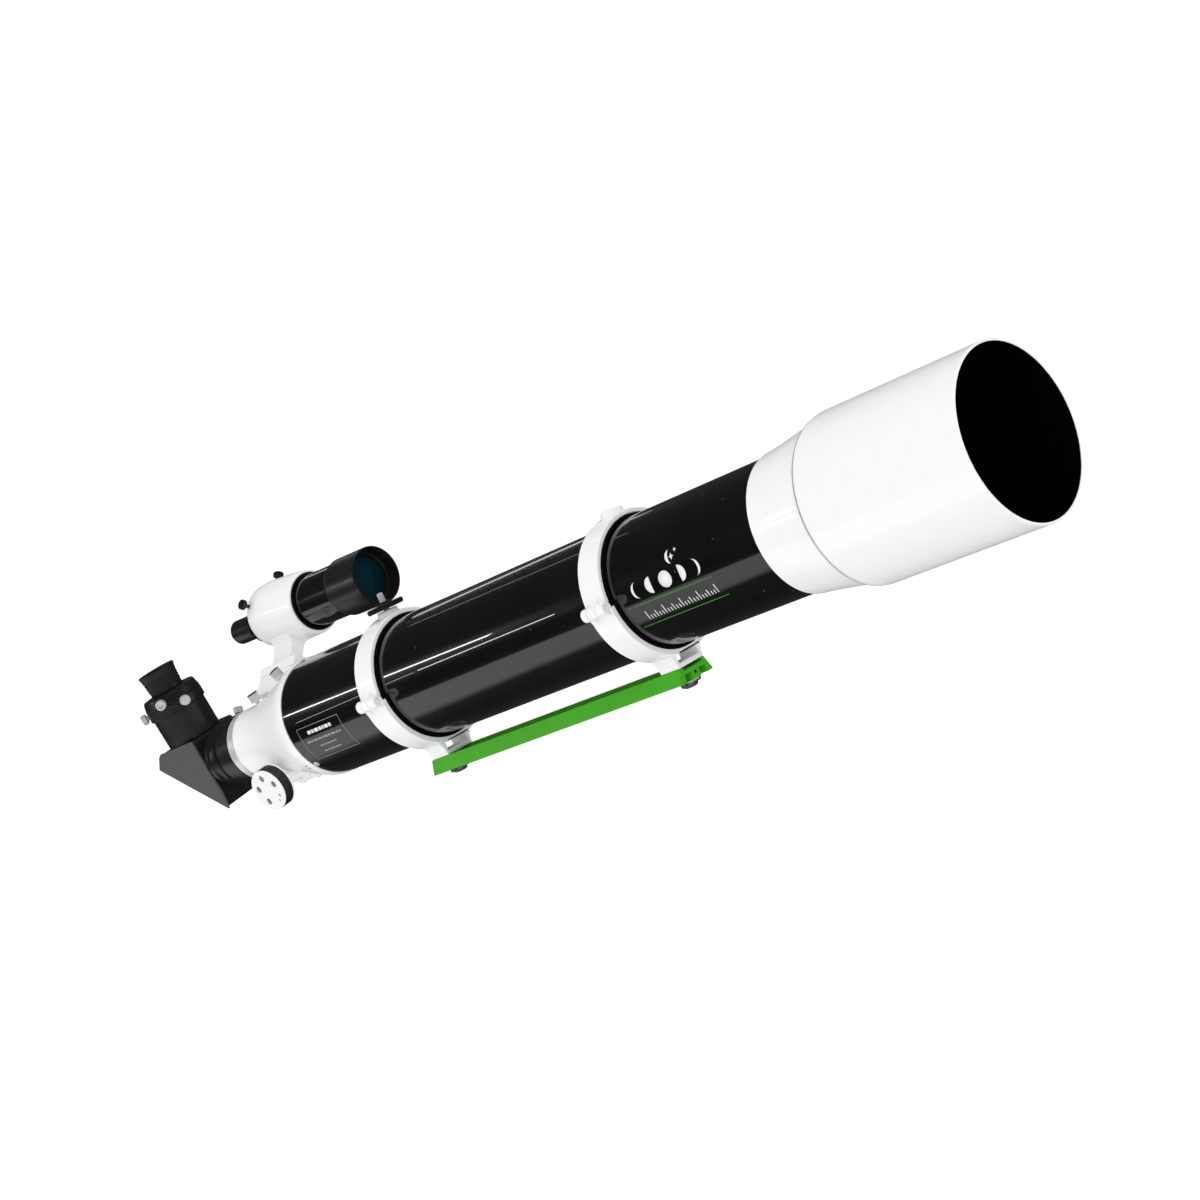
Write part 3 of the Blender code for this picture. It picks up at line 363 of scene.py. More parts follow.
def pierced_disc(name, radius, holes, low, high, paint, place, body, bevel=0.3 * MM):
    """A disc with round holes through it; holes are (across, up, radius)."""
    curve = bpy.data.curves.new(name, "CURVE")
    curve.dimensions = "2D"
    curve.fill_mode = "BOTH"
    curve.extrude = (high - low) / 2 - bevel
    curve.bevel_depth = bevel
    curve.bevel_resolution = 2
    rim = [(0, 0, radius - bevel)]
    for across, up, size in rim + [(a, u, s + bevel) for a, u, s in holes]:
        count = 64 if size > 5 * MM else 24
        spline = curve.splines.new("POLY")
        spline.points.add(count - 1)
        spline.use_cyclic_u = True
        for index in range(count):
            angle = 2 * math.pi * index / count
            spline.points[index].co = (across + size * math.cos(angle),
                                       up + size * math.sin(angle), 0, 1)
    source = bpy.data.objects.new(name + "_curve", curve)
    bpy.context.scene.collection.objects.link(source)
    bpy.context.view_layer.update()
    mesh = bpy.data.meshes.new_from_object(source.evaluated_get(
        bpy.context.evaluated_depsgraph_get()))
    bpy.data.objects.remove(source)
    mesh.transform(Matrix.Translation((0, 0, (low + high) / 2)))
    mesh.shade_smooth()
    mesh.set_sharp_from_angle(angle=SMOOTH_ANGLE)
    return publish(name, mesh, paint, place, body)


def thumbscrew(name, base, seat, direction, body, node, head=5.7 * MM, length=10 * MM,
               lift=3 * MM, reach=6 * MM, paint="chrome", ridges=22, tip=None,
               socket=0.0, shank=2 * MM):
    """A knurled screw standing on a surface, with an optional coloured end cap or socket."""
    place = along(base, seat, direction)
    top = lift + length
    neck = shank * 1.35
    profile = [(top, 0.0), (top, head * 0.86), (top - 0.9 * MM, head), (lift + 0.9 * MM, head),
               (lift, head * 0.86), (lift, neck), (lift - 1.2 * MM, neck),
               (lift - 1.2 * MM, shank), (-reach, shank), (-reach, 0.0)]
    if socket:
        profile = [(top - 2.2 * MM, 0.0), (top - 2.2 * MM, socket), (top, socket)] + profile[1:]
    turned(name + "_knurled", profile, paint, place, body, (node,),
           soft=0.35 * MM, grip=(lift + 0.8 * MM, top - 0.8 * MM, ridges, 0.35 * MM))
    if tip:
        turned(name + "_cap", [(top + 0.4 * MM, 0.0), (top + 0.4 * MM, head * 0.92),
                               (top - 0.2 * MM, head * 1.03), (top - 1.0 * MM, head * 1.03),
                               (top - 1.0 * MM, 0.0)],
               tip, place, body, soft=0.3 * MM, steps=48)


# Bar and feet -------------------------------------------------------------------------------
def build_bar():
    half_base = 22.4 * MM
    half_top = 17.4 * MM
    rail = 13.5 * MM
    floor = BAR_HEIGHT - 3 * MM
    web = 6.2 * MM
    leg = 14.8 * MM
    roof = 7 * MM
    right = [(web, 0), (web - 0.6 * MM, roof), (leg - 0.6 * MM, roof), (leg, 0),
             (half_base - 0.8 * MM, 0), (half_base, 0.9 * MM), (half_top, BAR_HEIGHT),
             (rail, BAR_HEIGHT), (rail, floor)]
    outline = right + [(-y, z) for y, z in reversed(right)]
    bar = slab("bar_extrusion", outline, "X", -BAR_HALF_LENGTH, BAR_HALF_LENGTH,
               "green_anodised", Matrix(), "mount", ("dovetail_bar",), bevel=0.35 * MM)
    # Kept out of the tube's reflections, which would otherwise show a green stripe.
    bar.visible_glossy = False
    for end, side in (("rear", -1), ("front", 1)):
        # A flat black disc at each end of the bar stands for a drilled hole; its black is painted
        # shade.
        place = along(Matrix(), (side * BAR_HALF_LENGTH, 0, 5.4 * MM), (side, 0, 0))
        turned("bar_web_hole_shade_" + end,
               mm((0.12, 0), (0.12, 1.5), (-1, 1.5), (-1, 0)),
               "matt_black_lining_and_hole_shade", place, "mount", steps=24, soft=0)
    for end, rear_edge in RING_REAR_EDGES.items():
        middle = rear_edge + 11.75 * MM
        down = along(Matrix(), (middle, 0, 0), (0, 0, -1))
        turned(end + "_foot_washer", mm((1.8, 3), (1.8, 9.5), (0.2, 9.5), (0.2, 3)),
               "chrome", down, "mount", steps=64, soft=0.3 * MM)
        turned(end + "_foot_screw", mm((4.0, 0), (4.0, 2.6), (6.4, 2.6), (6.4, 5.2), (5.6, 6.6),
                                       (3.2, 7.5), (1.9, 7.5), (1.9, 2.9), (-18, 2.9), (-18, 0)),
               "steel_dark", down, "mount", (end + "_foot_bolt",), steps=48)
        for index, (shift, across) in enumerate(((0, 11 * MM), (3 * MM, -11 * MM))):
            small = along(Matrix(), (middle + shift, across, 0), (0, 0, -1))
            turned(f"{end}_foot_grub_{index}",
                   mm((4.2, 0), (4.2, 2.2), (3.2, 3.4), (0.3, 3.4), (0.3, 1.8), (-6, 1.8),
                      (-6, 0)), "steel_dark", small, "mount", steps=32)


# Tube rings ---------------------------------------------------------------------------------
def build_ring(end, rear_edge):
    top_body = end + "_ring_top"
    middle = rear_edge + RING_UPPER_WIDTH / 2
    build_ring_halves(end, rear_edge, top_body)
    build_hinge(end, rear_edge, top_body)
    build_clamp(end, middle, top_body)
    turned(end + "_boss", mm((72, 0), (72, 9.4), (71, 10.2), (66, 11.6), (63.5, 14), (63.5, 0)),
           "white_enamel", along(AXIS, (middle, 0, 0), (0, 0, 1)), top_body, steps=64,
           soft=1.0 * MM)
    # The foot is open through its middle, so that it makes a window under the casting.
    bottom = BAR_HEIGHT - AXIS_HEIGHT + 0.1 * MM
    left = [(18.6 * MM, bottom + 7 * MM), (22.5 * MM, -64.5 * MM), (19 * MM, -62.5 * MM),
            (14 * MM, -63 * MM), (14 * MM, bottom + 4.4 * MM)]
    foot = [(-17.4 * MM, bottom), (17.4 * MM, bottom)] + left
    foot += [(-y, z) for y, z in reversed(left)]
    slab(end + "_foot", foot, "X", rear_edge + 0.2 * MM, rear_edge + 24 * MM, "white_enamel",
         AXIS, "mount", bevel=0.9 * MM)


def build_ring_halves(end, rear_edge, top_body):
    split = 2 * MM
    gap_angle = math.degrees(math.asin(split / RING_OUTER))
    front_upper = rear_edge + RING_UPPER_WIDTH
    front_lower = rear_edge + RING_LOWER_WIDTH
    halves = (("upper", 0, front_upper, top_body), ("lower", 180, front_lower, "mount"))
    for half, turn, front, body in halves:
        first = turn + gap_angle
        last = turn + 180 - gap_angle
        outside = arc(RING_OUTER, first, last, 72)
        if half == "lower":
            window = 14 * MM
            edge = -math.sqrt(RING_OUTER ** 2 - window ** 2)
            roof = -64.6 * MM
            before = [point for point in outside if point[0] < -window]
            behind = [point for point in outside if point[0] > window]
            outside = (before + [(-window, edge), (-window, roof), (window, roof),
                                 (window, edge)] + behind)
        shell = outside + arc(RING_INNER, last, first, 72)
        slab(f"{end}_ring_{half}_casting", shell, "X", rear_edge, front, "white_enamel", AXIS,
             body, (f"{end}_ring_{half}",), bevel=1.4 * MM if half == "upper" else 1.2 * MM)
        liner = (arc(RING_INNER - 0.1 * MM, first, last, 72)
                 + arc(TUBE_RADIUS + 0.25 * MM, last, first, 72))
        slab(f"{end}_liner_{half}", liner, "X", rear_edge + 0.4 * MM, front + 1.6 * MM,
             "black_felt", AXIS, body, (f"{end}_felt_{half}",), bevel=0.3 * MM)


def build_hinge(end, rear_edge, top_body):
    """Two knuckles below, one above, with leaves running into the castings."""
    hinge = along(AXIS, (0, HINGE_Y, -1 * MM), (1, 0, 0))
    spans = (("lower", "mount", 0.4, 7.5), ("upper", top_body, 8.0, 18.0),
             ("lower", "mount", 18.5, 28.0))
    for index, (half, body, low, high) in enumerate(spans):
        turned(f"{end}_knuckle_{index}",
               [(rear_edge + high * MM, 2.4 * MM), (rear_edge + high * MM, 6 * MM),
                (rear_edge + low * MM, 6 * MM), (rear_edge + low * MM, 2.4 * MM)],
               "white_enamel", hinge, body, steps=48, soft=0.7 * MM)
        lift = 1 if half == "upper" else -1
        leaf = [(-76.4 * MM, -1 * MM + lift * 1.5 * MM), (-70 * MM, -1 * MM + lift * 5 * MM),
                (-66 * MM, lift * 14 * MM), (-63.5 * MM, lift * 14 * MM),
                (-64 * MM, lift * 3 * MM), (-68 * MM, -1 * MM + lift * 1.5 * MM)]
        slab(f"{end}_hinge_leaf_{index}", leaf, "X", rear_edge + low * MM + 0.2 * MM,
             rear_edge + high * MM - 0.2 * MM, "white_enamel", AXIS, body, bevel=1.0 * MM)
    turned(end + "_hinge_rod",
           [(rear_edge + 28.2 * MM, 0.0), (rear_edge + 28.2 * MM, 2.1 * MM),
            (rear_edge - 0.2 * MM, 2.1 * MM), (rear_edge - 0.2 * MM, 0.0)],
           "white_enamel", hinge, "mount", (end + "_hinge_pin",), steps=32)


def build_clamp(end, middle, top_body):
    """Lugs and the captive screw on the observer's left."""
    half_width = 9 * MM
    for half, body, lift in (("upper", top_body, 1), ("lower", "mount", -1)):
        lug = [(middle - half_width, 63 * MM), (middle - half_width, 80 * MM)]
        lug += [(middle + half_width * math.cos(math.radians(a)),
                 79 * MM + 8 * MM * math.sin(math.radians(a))) for a in range(170, 5, -16)]
        lug += [(middle + half_width, 80 * MM), (middle + half_width, 63 * MM)]
        low, high = sorted((lift * 2.2 * MM, lift * 10 * MM))
        slab(f"{end}_lug_{half}", lug, "Z", low, high, "white_enamel", AXIS, body,
             bevel=1.0 * MM)
    thumbscrew(end + "_ring_clamp", AXIS, (middle, CLAMP_Y, 10 * MM), (0, 0, 1),
               end + "_clamp", end + "_clamp_screw", head=7.4 * MM, length=13.5 * MM,
               lift=0.4 * MM, reach=18 * MM, ridges=30, shank=3 * MM)


def build_piggyback():
    centre = RING_REAR_EDGES["rear"] + RING_UPPER_WIDTH / 2
    up = along(AXIS, (centre, 0, 0), (0, 0, 1))
    turned("camera_stud", mm((89.4, 0), (89.4, 2.2), (88.6, 3.1), (68, 3.1), (68, 0)),
           "chrome", up, "rear_ring_top", ("piggyback_stud",), steps=48)
    for index in range(7):
        station = 81.6 * MM + index * 0.9 * MM
        turned(f"camera_stud_thread_{index}",
               [(station + 0.35 * MM, 3.05 * MM), (station, 3.3 * MM),
                (station - 0.35 * MM, 3.05 * MM)], "chrome", up, "rear_ring_top",
               steps=48, soft=0)
    turned("lock_wheel", mm((80.4, 3.6), (80.4, 6.6), (78.2, 7.2), (78.0, 17.4), (77.2, 18.5),
                            (73.6, 18.5), (72.9, 17.4), (72.9, 3.6)),
           "black_anodised", up, "piggyback_lock", ("piggyback_wheel",),
           grip=(73.4 * MM, 77.4 * MM, 48, 0.45 * MM))


# Tube, cell and dew shield ------------------------------------------------------------------
def build_tube():
    roll_x = along(ROLL, (0, 0, 0), (1, 0, 0))
    turned("tube_shell", [(TUBE_FRONT, 58.8 * MM), (TUBE_FRONT, TUBE_RADIUS),
                          (TUBE_REAR, TUBE_RADIUS), (TUBE_REAR, 58.8 * MM)],
           "black_gloss_paint", roll_x, "optical_tube", ("main_tube",), steps=192,
           soft=0.15 * MM)
    cell = mm((451.5, 62.4), (451.5, 72.2), (418.5, 72.2), (414, 70.6), (406, 69.3), (396, 67.8),
              (384, 66.0), (372, 64.3), (364, 63.3), (358, 62.8), (354.7, 62.4), (354.7, 59),
              (411, 59), (411, 62.4))
    turned("cell_casting", cell, "white_enamel", roll_x, "optical_tube", ("objective_cell",),
           steps=192, soft=0.5 * MM)
    turned("cell_face", mm((452, 59.2), (452, 72.15), (451.4, 72.15), (451.4, 59.2)),
           "matt_black_lining_and_hole_shade", roll_x, "optical_tube", steps=128, soft=0)
    turned("retaining_ring", mm((437, 58.6), (437, 62.2), (430.2, 62.2), (430.2, 58.6)),
           "matt_black_lining_and_hole_shade", roll_x, "optical_tube", ("lens_retainer",), steps=128)
    bulge = [(429.6 * MM + 3.4 * MM * (1 - (i / 8) ** 2), 61.8 * MM * i / 8) for i in range(9)]
    turned("objective_front_glass", bulge + mm((423, 61.8), (423, 0)),
           "black_glass", roll_x, "optical_tube", ("front_lens",), steps=128, soft=0)
    turned("dew_shield_seam", mm((419.2, 73.0), (419.2, 74.0), (417.4, 73.1), (417.4, 72.6)),
           "print_grey", roll_x, "dew_cap", steps=192, soft=0)
    dew = mm((589, 72.9), (589, 74.2), (587.8, 75.0), (424.5, 75.0), (421.5, 74.6), (419, 73.7),
             (417.6, 72.8), (417.6, 72.5))
    turned("dew_shell", dew, "white_enamel", roll_x, "dew_cap", ("dew_shield",), steps=192,
           soft=0.4 * MM)
    turned("dew_lining", mm((588.4, 72.45), (588.4, 72.95), (418, 72.95), (418, 72.45)),
           "matt_black_lining_and_hole_shade", roll_x, "dew_cap", steps=192, soft=0)


# Printing on the tube -----------------------------------------------------------------------
def printed(name, left, right, low, high, rows, paint):
    """A thin print on the tube between two edges given as functions of the arc length.

    low and high are arc lengths round the tube from its top towards the observer's right.
    """
    radius = TUBE_RADIUS + 0.09 * MM
    shell = bmesh.new()
    pairs = []
    for row in range(rows + 1):
        length = low + (high - low) * row / rows
        angle = length / radius
        y, z = -radius * math.sin(angle), radius * math.cos(angle)
        pairs.append((shell.verts.new((left(length), y, z)),
                      shell.verts.new((right(length), y, z))))
    for (a, b), (c, d) in zip(pairs, pairs[1:]):
        shell.faces.new((a, b, d, c))
    obj = publish(name, as_mesh(name, shell), paint, AXIS, "optical_tube")
    thick = obj.modifiers.new("ink", "SOLIDIFY")
    thick.thickness = 0.03 * MM


def arc_length(degrees):
    """Distance round the tube from its top towards the observer's right."""
    return TUBE_RADIUS * math.radians(degrees)


def bar_print(name, start, end, low, high, paint):
    rows = max(1, int((high - low) / (1.5 * MM)))
    printed(name, lambda s: start, lambda s: end, low, high, rows, paint)


def curve_print(name, middle, centre, half_height, edges, half_width, rows=28):
    """A print with a half width that is a function of the arc length from its centre.

    edges are its two sides as shares of the half width, on either side of middle.
    """
    first, second = edges
    printed(name, lambda s: middle + first * half_width(s - centre),
            lambda s: middle + second * half_width(s - centre),
            centre - half_height, centre + half_height, rows, "print_white")


def circle(radius):
    """Half width of a disc, by height above its centre."""
    return lambda up: math.sqrt(max(0.0, radius ** 2 - up ** 2))


def star(span):
    """Half width of a four-pointed star's upright, by height above its centre."""
    return lambda up: 0.55 * span * max(0.0, 1 - abs(up) / span) ** 1.6


def build_print():
    """Moon phases, a crescent, two stars and a ruled scale stand in for all the lettering."""
    nearly_whole = 0.999
    size = 7.4 * MM
    for index, phase in enumerate((-0.62, 0.0, 1.0, 0.0, -0.62)):
        side = -1 if index < 2 else 1
        curve_print(f"moon_phase_{index}", (210.5 + index * 17.2) * MM, arc_length(88),
                    size * nearly_whole, (side, -side * phase), circle(size))
    crescent = arc_length(72.5)
    reach = 6.0 * MM
    curve_print("crescent", 258 * MM, crescent, reach * nearly_whole, (-1, -0.45),
                circle(reach))
    for index, (across, up, size) in enumerate(((259.5, 0.4, 3.4), (265, -4.2, 2.2))):
        middle = crescent + up * MM
        span = size * MM
        curve_print(f"star_{index}", across * MM, middle, span, (-1, 1), star(span), rows=16)
        bar_print(f"star_{index}_bar", across * MM - span * 0.8, across * MM + span * 0.8,
                  middle - 0.3 * MM, middle + 0.3 * MM, "print_white")
    half_rule = 0.4 * MM
    for index, degrees in enumerate((100, 120)):
        bar_print(f"green_rule_{index}", (190.5 + index) * MM, (293.5 + index * 3) * MM,
                  arc_length(degrees) - half_rule, arc_length(degrees) + half_rule,
                  "print_green")
    base = arc_length(115)
    for index in range(25):
        start = (205 + index * 3.5) * MM
        tall = 9 * MM if index % 6 == 0 else 6.5 * MM if index % 3 == 0 else 4 * MM
        bar_print(f"scale_tick_{index}", start, start + 0.9 * MM, base - tall, base,
                  "print_white")
    build_label_panel()


def build_label_panel():
    """An outlined panel with rows of plain bars."""
    low, high = arc_length(88.3), arc_length(124.3)
    left, right = -289.5 * MM, -222 * MM
    line = 0.5 * MM
    for name, a, b, c, d in (("top", left, right, low, low + line),
                             ("bottom", left, right, high - line, high),
                             ("rear", left, left + line, low, high),
                             ("front", right - line, right, low, high)):
        bar_print("panel_edge_" + name, a, b, c, d, "print_grey")
    # Each row's start and end along the tube in mm, place round it in degrees, and height.
    rows = ((-275.5, -234.5, 94.8, 3.6, "print_white"), (-284, -226, 103.7, 2.2, "print_grey"),
            (-270.5, -241, 111, 1.7, "print_grey"), (-271, -241, 117.7, 1.7, "print_grey"))
    lengths = (5.2, 3.4, 6.6, 4.2, 2.8, 5.6, 3.8, 6.2, 4.6, 3.0, 5.0, 4.0)
    space = 1.1
    for index, (start, end, degrees, tall, paint) in enumerate(rows):
        top = arc_length(degrees) - tall * MM / 2
        cursor = start
        for step, length in enumerate(lengths):
            if cursor + length > end:
                break
            bar_print(f"panel_bar_{index}_{step}", cursor * MM, (cursor + length) * MM, top,
                      top + tall * MM, paint)
            cursor += length + space


# Focuser ------------------------------------------------------------------------------------
def build_focuser():
    roll_x = along(ROLL, (0, 0, 0), (1, 0, 0))
    body = mm((-292, 58.3), (-304.2, 58.3), (-304.2, 61), (-310, 60.9), (-316, 60), (-324, 57.8),
              (-334, 54.7), (-347, 50.7), (-361, 46.7), (-374, 43.4), (-386, 40.7), (-396, 38.9),
              (-406, 37.9), (-416, 37.5), (-424, 37.3), (-424.5, 36.6), (-424.5, 29.4),
              (-334, 29.4), (-326, 48), (-304, 55.4), (-292, 55.4))
    turned("focuser_casting", body, "white_enamel", roll_x, "optical_tube",
           ("focuser_body",), steps=160, soft=0.6 * MM)
    build_gear_housing()
    build_casting_screws()
    build_focuser_screws()
    build_drawtube(roll_x)
    build_knobs()


def build_gear_housing():
    """A bearing tube to each side of the gear block, with the rack's path left clear."""
    for side, outward in (("right", -1), ("left", 1)):
        across = along(ROLL, (PINION_X, 0, -PINION_DROP), (0, outward, 0))
        turned(side + "_gear_housing", mm((22, 3.4), (22, 10), (19, 13.5), (17.6, 13.5),
                                          (17.6, 3.4)),
               "white_enamel", across, "optical_tube", steps=96, soft=0.6 * MM)
        turned(side + "_bearing_tube", mm((46, 3.4), (46, 7.6), (44.5, 8.5), (24, 9.5), (19, 12),
                                          (17.6, 12), (17.6, 3.4)),
               "white_enamel", across, "optical_tube", steps=64, soft=0.6 * MM)
    slab("gear_block", box_outline((-390 * MM, -18 * MM), (-339 * MM, 18 * MM)), "Z",
         -49.8 * MM, -34 * MM, "white_enamel", ROLL, "optical_tube", bevel=2.5 * MM)
    slab("gear_cover", box_outline((-388 * MM, -15 * MM), (-353 * MM, 15 * MM)), "Z",
         -52.4 * MM, -40 * MM, "white_enamel", ROLL, "optical_tube", ("pinion_cover",),
         bevel=1.2 * MM)
    for index, x in enumerate((-384 * MM, -357 * MM)):
        for side, y in (("right", -11 * MM), ("left", 11 * MM)):
            turned(f"gear_cover_screw_{index}_{side}",
                   mm((1.2, 0), (1.4, 1.0), (0.9, 2.0), (-0.5, 2.0), (-0.5, 0)),
                   "chrome", along(ROLL, (x, y, -52.4 * MM), (0, 0, -1)),
                   "optical_tube", steps=24, soft=0.2 * MM)


def build_casting_screws():
    """Screws that hold the casting in the tube, each with a pair of small ones behind it."""
    casting_radius = 60.5 * MM
    for index, azimuth in enumerate((-121, -1, -241)):
        outward = around(azimuth)
        turned(f"tube_screw_{index}",
               mm((0.6, 0), (1.5, 0.6), (1.7, 1.4), (0.9, 3.1), (-1, 3.1), (-1, 0)),
               "chrome", along(ROLL, (-299 * MM, outward[1] * TUBE_RADIUS,
                                      outward[2] * TUBE_RADIUS), outward),
               "optical_tube", steps=32, soft=0.3 * MM)
        for letter, shift in (("a", 2), ("b", -2)):
            outward = around(azimuth + shift)
            turned(f"casting_screw_{index}_{letter}",
                   mm((0.05, 0), (0.3, 0.9), (-0.6, 0.9), (-0.6, 0)),
                   "black_anodised", along(ROLL, (-313 * MM, outward[1] * casting_radius,
                                                  outward[2] * casting_radius), outward),
                   "optical_tube", steps=20, soft=0)


def build_focuser_screws():
    """The two screws on top of the casting, with dark end caps."""
    for name, seat, degrees, lift in (
            ("tension_screw", (-343 * MM, 0, 51.8 * MM), 22, 2.2 * MM),
            ("lock_screw", (-397 * MM, 0, 38.5 * MM), 5, 2.4 * MM)):
        tilt = math.radians(degrees)
        thumbscrew(name, ROLL, seat, (-math.sin(tilt), 0, math.cos(tilt)), name,
                   "focus_" + name, lift=lift, length=9.6 * MM, tip="black_rubber")


def build_drawtube(roll_x):
    """Drawtube, and the collar on its end with its clamp screw."""
    flange = -436 * MM
    turned("drawtube_sleeve", [(-272 * MM, 26 * MM), (-272 * MM, 29 * MM),
                               (-425 * MM, 29 * MM), (-425 * MM, 36.2 * MM),
                               (-426 * MM, 36.8 * MM), (-434.8 * MM, 36.8 * MM),
                               (flange, 36.2 * MM), (flange, 26 * MM)],
           "chrome", roll_x, "draw", ("drawtube",), steps=160)
    turned("visual_back_collar", mm((-436.3, 25.8), (-436.3, 35.8), (-437.2, 36.6),
                                    (-445.6, 36.6), (-446.6, 35.4), (-448, 34.2), (-460.6, 34.2),
                                    (-462, 33), (-462, 25.8)),
           "black_anodised", roll_x, "draw", ("visual_back",), steps=160)
    outward = around(24)
    thumbscrew("collar_clamp", ROLL, (-454 * MM, outward[1] * 34 * MM, outward[2] * 34 * MM),
               outward, "collar_clamp", "collar_screw", head=5 * MM, length=7 * MM,
               lift=3.6 * MM, reach=7.6 * MM)


def build_knobs():
    core = 20.3 * MM
    rim = 22.2 * MM
    dimple_circle = 13.4 * MM
    dimples = [(dimple_circle * math.cos(math.radians(a)),
                dimple_circle * math.sin(math.radians(a)), 3.6 * MM)
               for a in (18, 90, 162, 234)]
    dimples += [(12.2 * MM, -8.4 * MM, 1.7 * MM), (8.6 * MM, -13.4 * MM, 1.2 * MM)]
    for side, outward in (("right", -1), ("left", 1)):
        place = along(PINION, (0, 0, 0), (0, outward, 0))
        turned(side + "_knob_hub", [(63.2 * MM, 0.0), (63.2 * MM, core),
                                    (53 * MM, core), (52.6 * MM, rim + 0.3 * MM),
                                    (51 * MM, rim + 0.3 * MM), (50.6 * MM, 19 * MM),
                                    (50.6 * MM, 7 * MM), (48 * MM, 6.4 * MM),
                                    (47.2 * MM, 3.3 * MM), (60 * MM, 3.3 * MM),
                                    (60 * MM, 0.0)],
               "white_enamel", place, "pinion", (side + "_knob",), soft=0.4 * MM)
        # A grey disc behind the face shows through its holes as painted shade in the dimples.
        turned(side + "_knob_dimple_shade", mm((63.9, 0), (63.9, 18), (63.1, 18), (63.1, 0)),
               "dimple_shade_grey", place, "pinion", soft=0)
        pierced_disc(side + "_knob_face", rim - 0.3 * MM, dimples, 64 * MM, 66 * MM,
                     "white_enamel", place, "pinion")
        turned(side + "_knob_rubber", [(63.8 * MM, core), (63.8 * MM, rim - 0.2 * MM),
                                       (63.4 * MM, rim), (53.2 * MM, rim),
                                       (52.8 * MM, rim - 0.4 * MM), (52.8 * MM, core)],
               "black_rubber", place, "pinion", (side + "_knob_grip",), soft=0.3 * MM,
               grip=(53 * MM, 63.6 * MM, 48, 0.6 * MM))


# Star diagonal and eyepiece -----------------------------------------------------------------
def build_diagonal():
    toe, heel = (27.5 * MM, -46.5 * MM), (-43.5 * MM, 19.5 * MM)
    front, top = 31 * MM, 34.5 * MM
    cheek = [(front - 2 * MM, top), (front, top - 2 * MM), (front, -30 * MM), toe, heel,
             (-33 * MM, 31.5 * MM), (-28 * MM, top)]
    for name, low, high in (("right", -31.8, -29), ("left", 29, 31.8)):
        slab(f"diagonal_cheek_{name}", cheek, "Y", low * MM, high * MM, "dark_grey_plastic",
             DIAGONAL, "diagonal", bevel=0.8 * MM)
    inner = [(front - 2.6 * MM, top - 0.8 * MM), (front - 0.7 * MM, top - 3 * MM),
             (front - 0.7 * MM, -30 * MM), (26.4 * MM, -44.4 * MM), (-41.8 * MM, 19.2 * MM),
             (-32.5 * MM, 30.6 * MM), (-27.7 * MM, top - 0.8 * MM)]
    slab("diagonal_body", inner, "Y", -29.2 * MM, 29.2 * MM, "black_anodised", DIAGONAL,
         "diagonal", ("diagonal_housing",), bevel=0.8 * MM)
    slope = math.atan2(heel[1] - toe[1], toe[0] - heel[0])
    back = (DIAGONAL @ Matrix.Translation((toe[0], 0, toe[1]))
            @ Matrix.Rotation(slope, 4, "Y"))
    length = math.hypot(toe[0] - heel[0], toe[1] - heel[1])
    slab("diagonal_back_plate", box_outline((-length + 6 * MM, -26 * MM),
                                            (-6 * MM, 26 * MM)), "Z", -0.6 * MM, 2.4 * MM,
         "black_anodised", back, "diagonal", ("diagonal_back_cover",), bevel=0.6 * MM)
    along_x = along(DIAGONAL, (0, 0, 0), (1, 0, 0))
    turned("diagonal_nose", mm((79, 24), (79, 24.5), (78.4, 25), (53.4, 25), (53.4, 31.6),
                               (51.6, 33.2), (47.4, 33.2), (46.2, 31.0), (44, 30.0), (41, 30.6),
                               (39, 32.2), (35, 32.2), (33.6, 30.8), (30.8, 30.6), (30.8, 24)),
           "black_anodised", along_x, "diagonal", ("diagonal_nosepiece",), steps=160,
           soft=0.5 * MM)
    build_eyepiece(DIAGONAL @ Matrix.Translation((0, 0, top)))


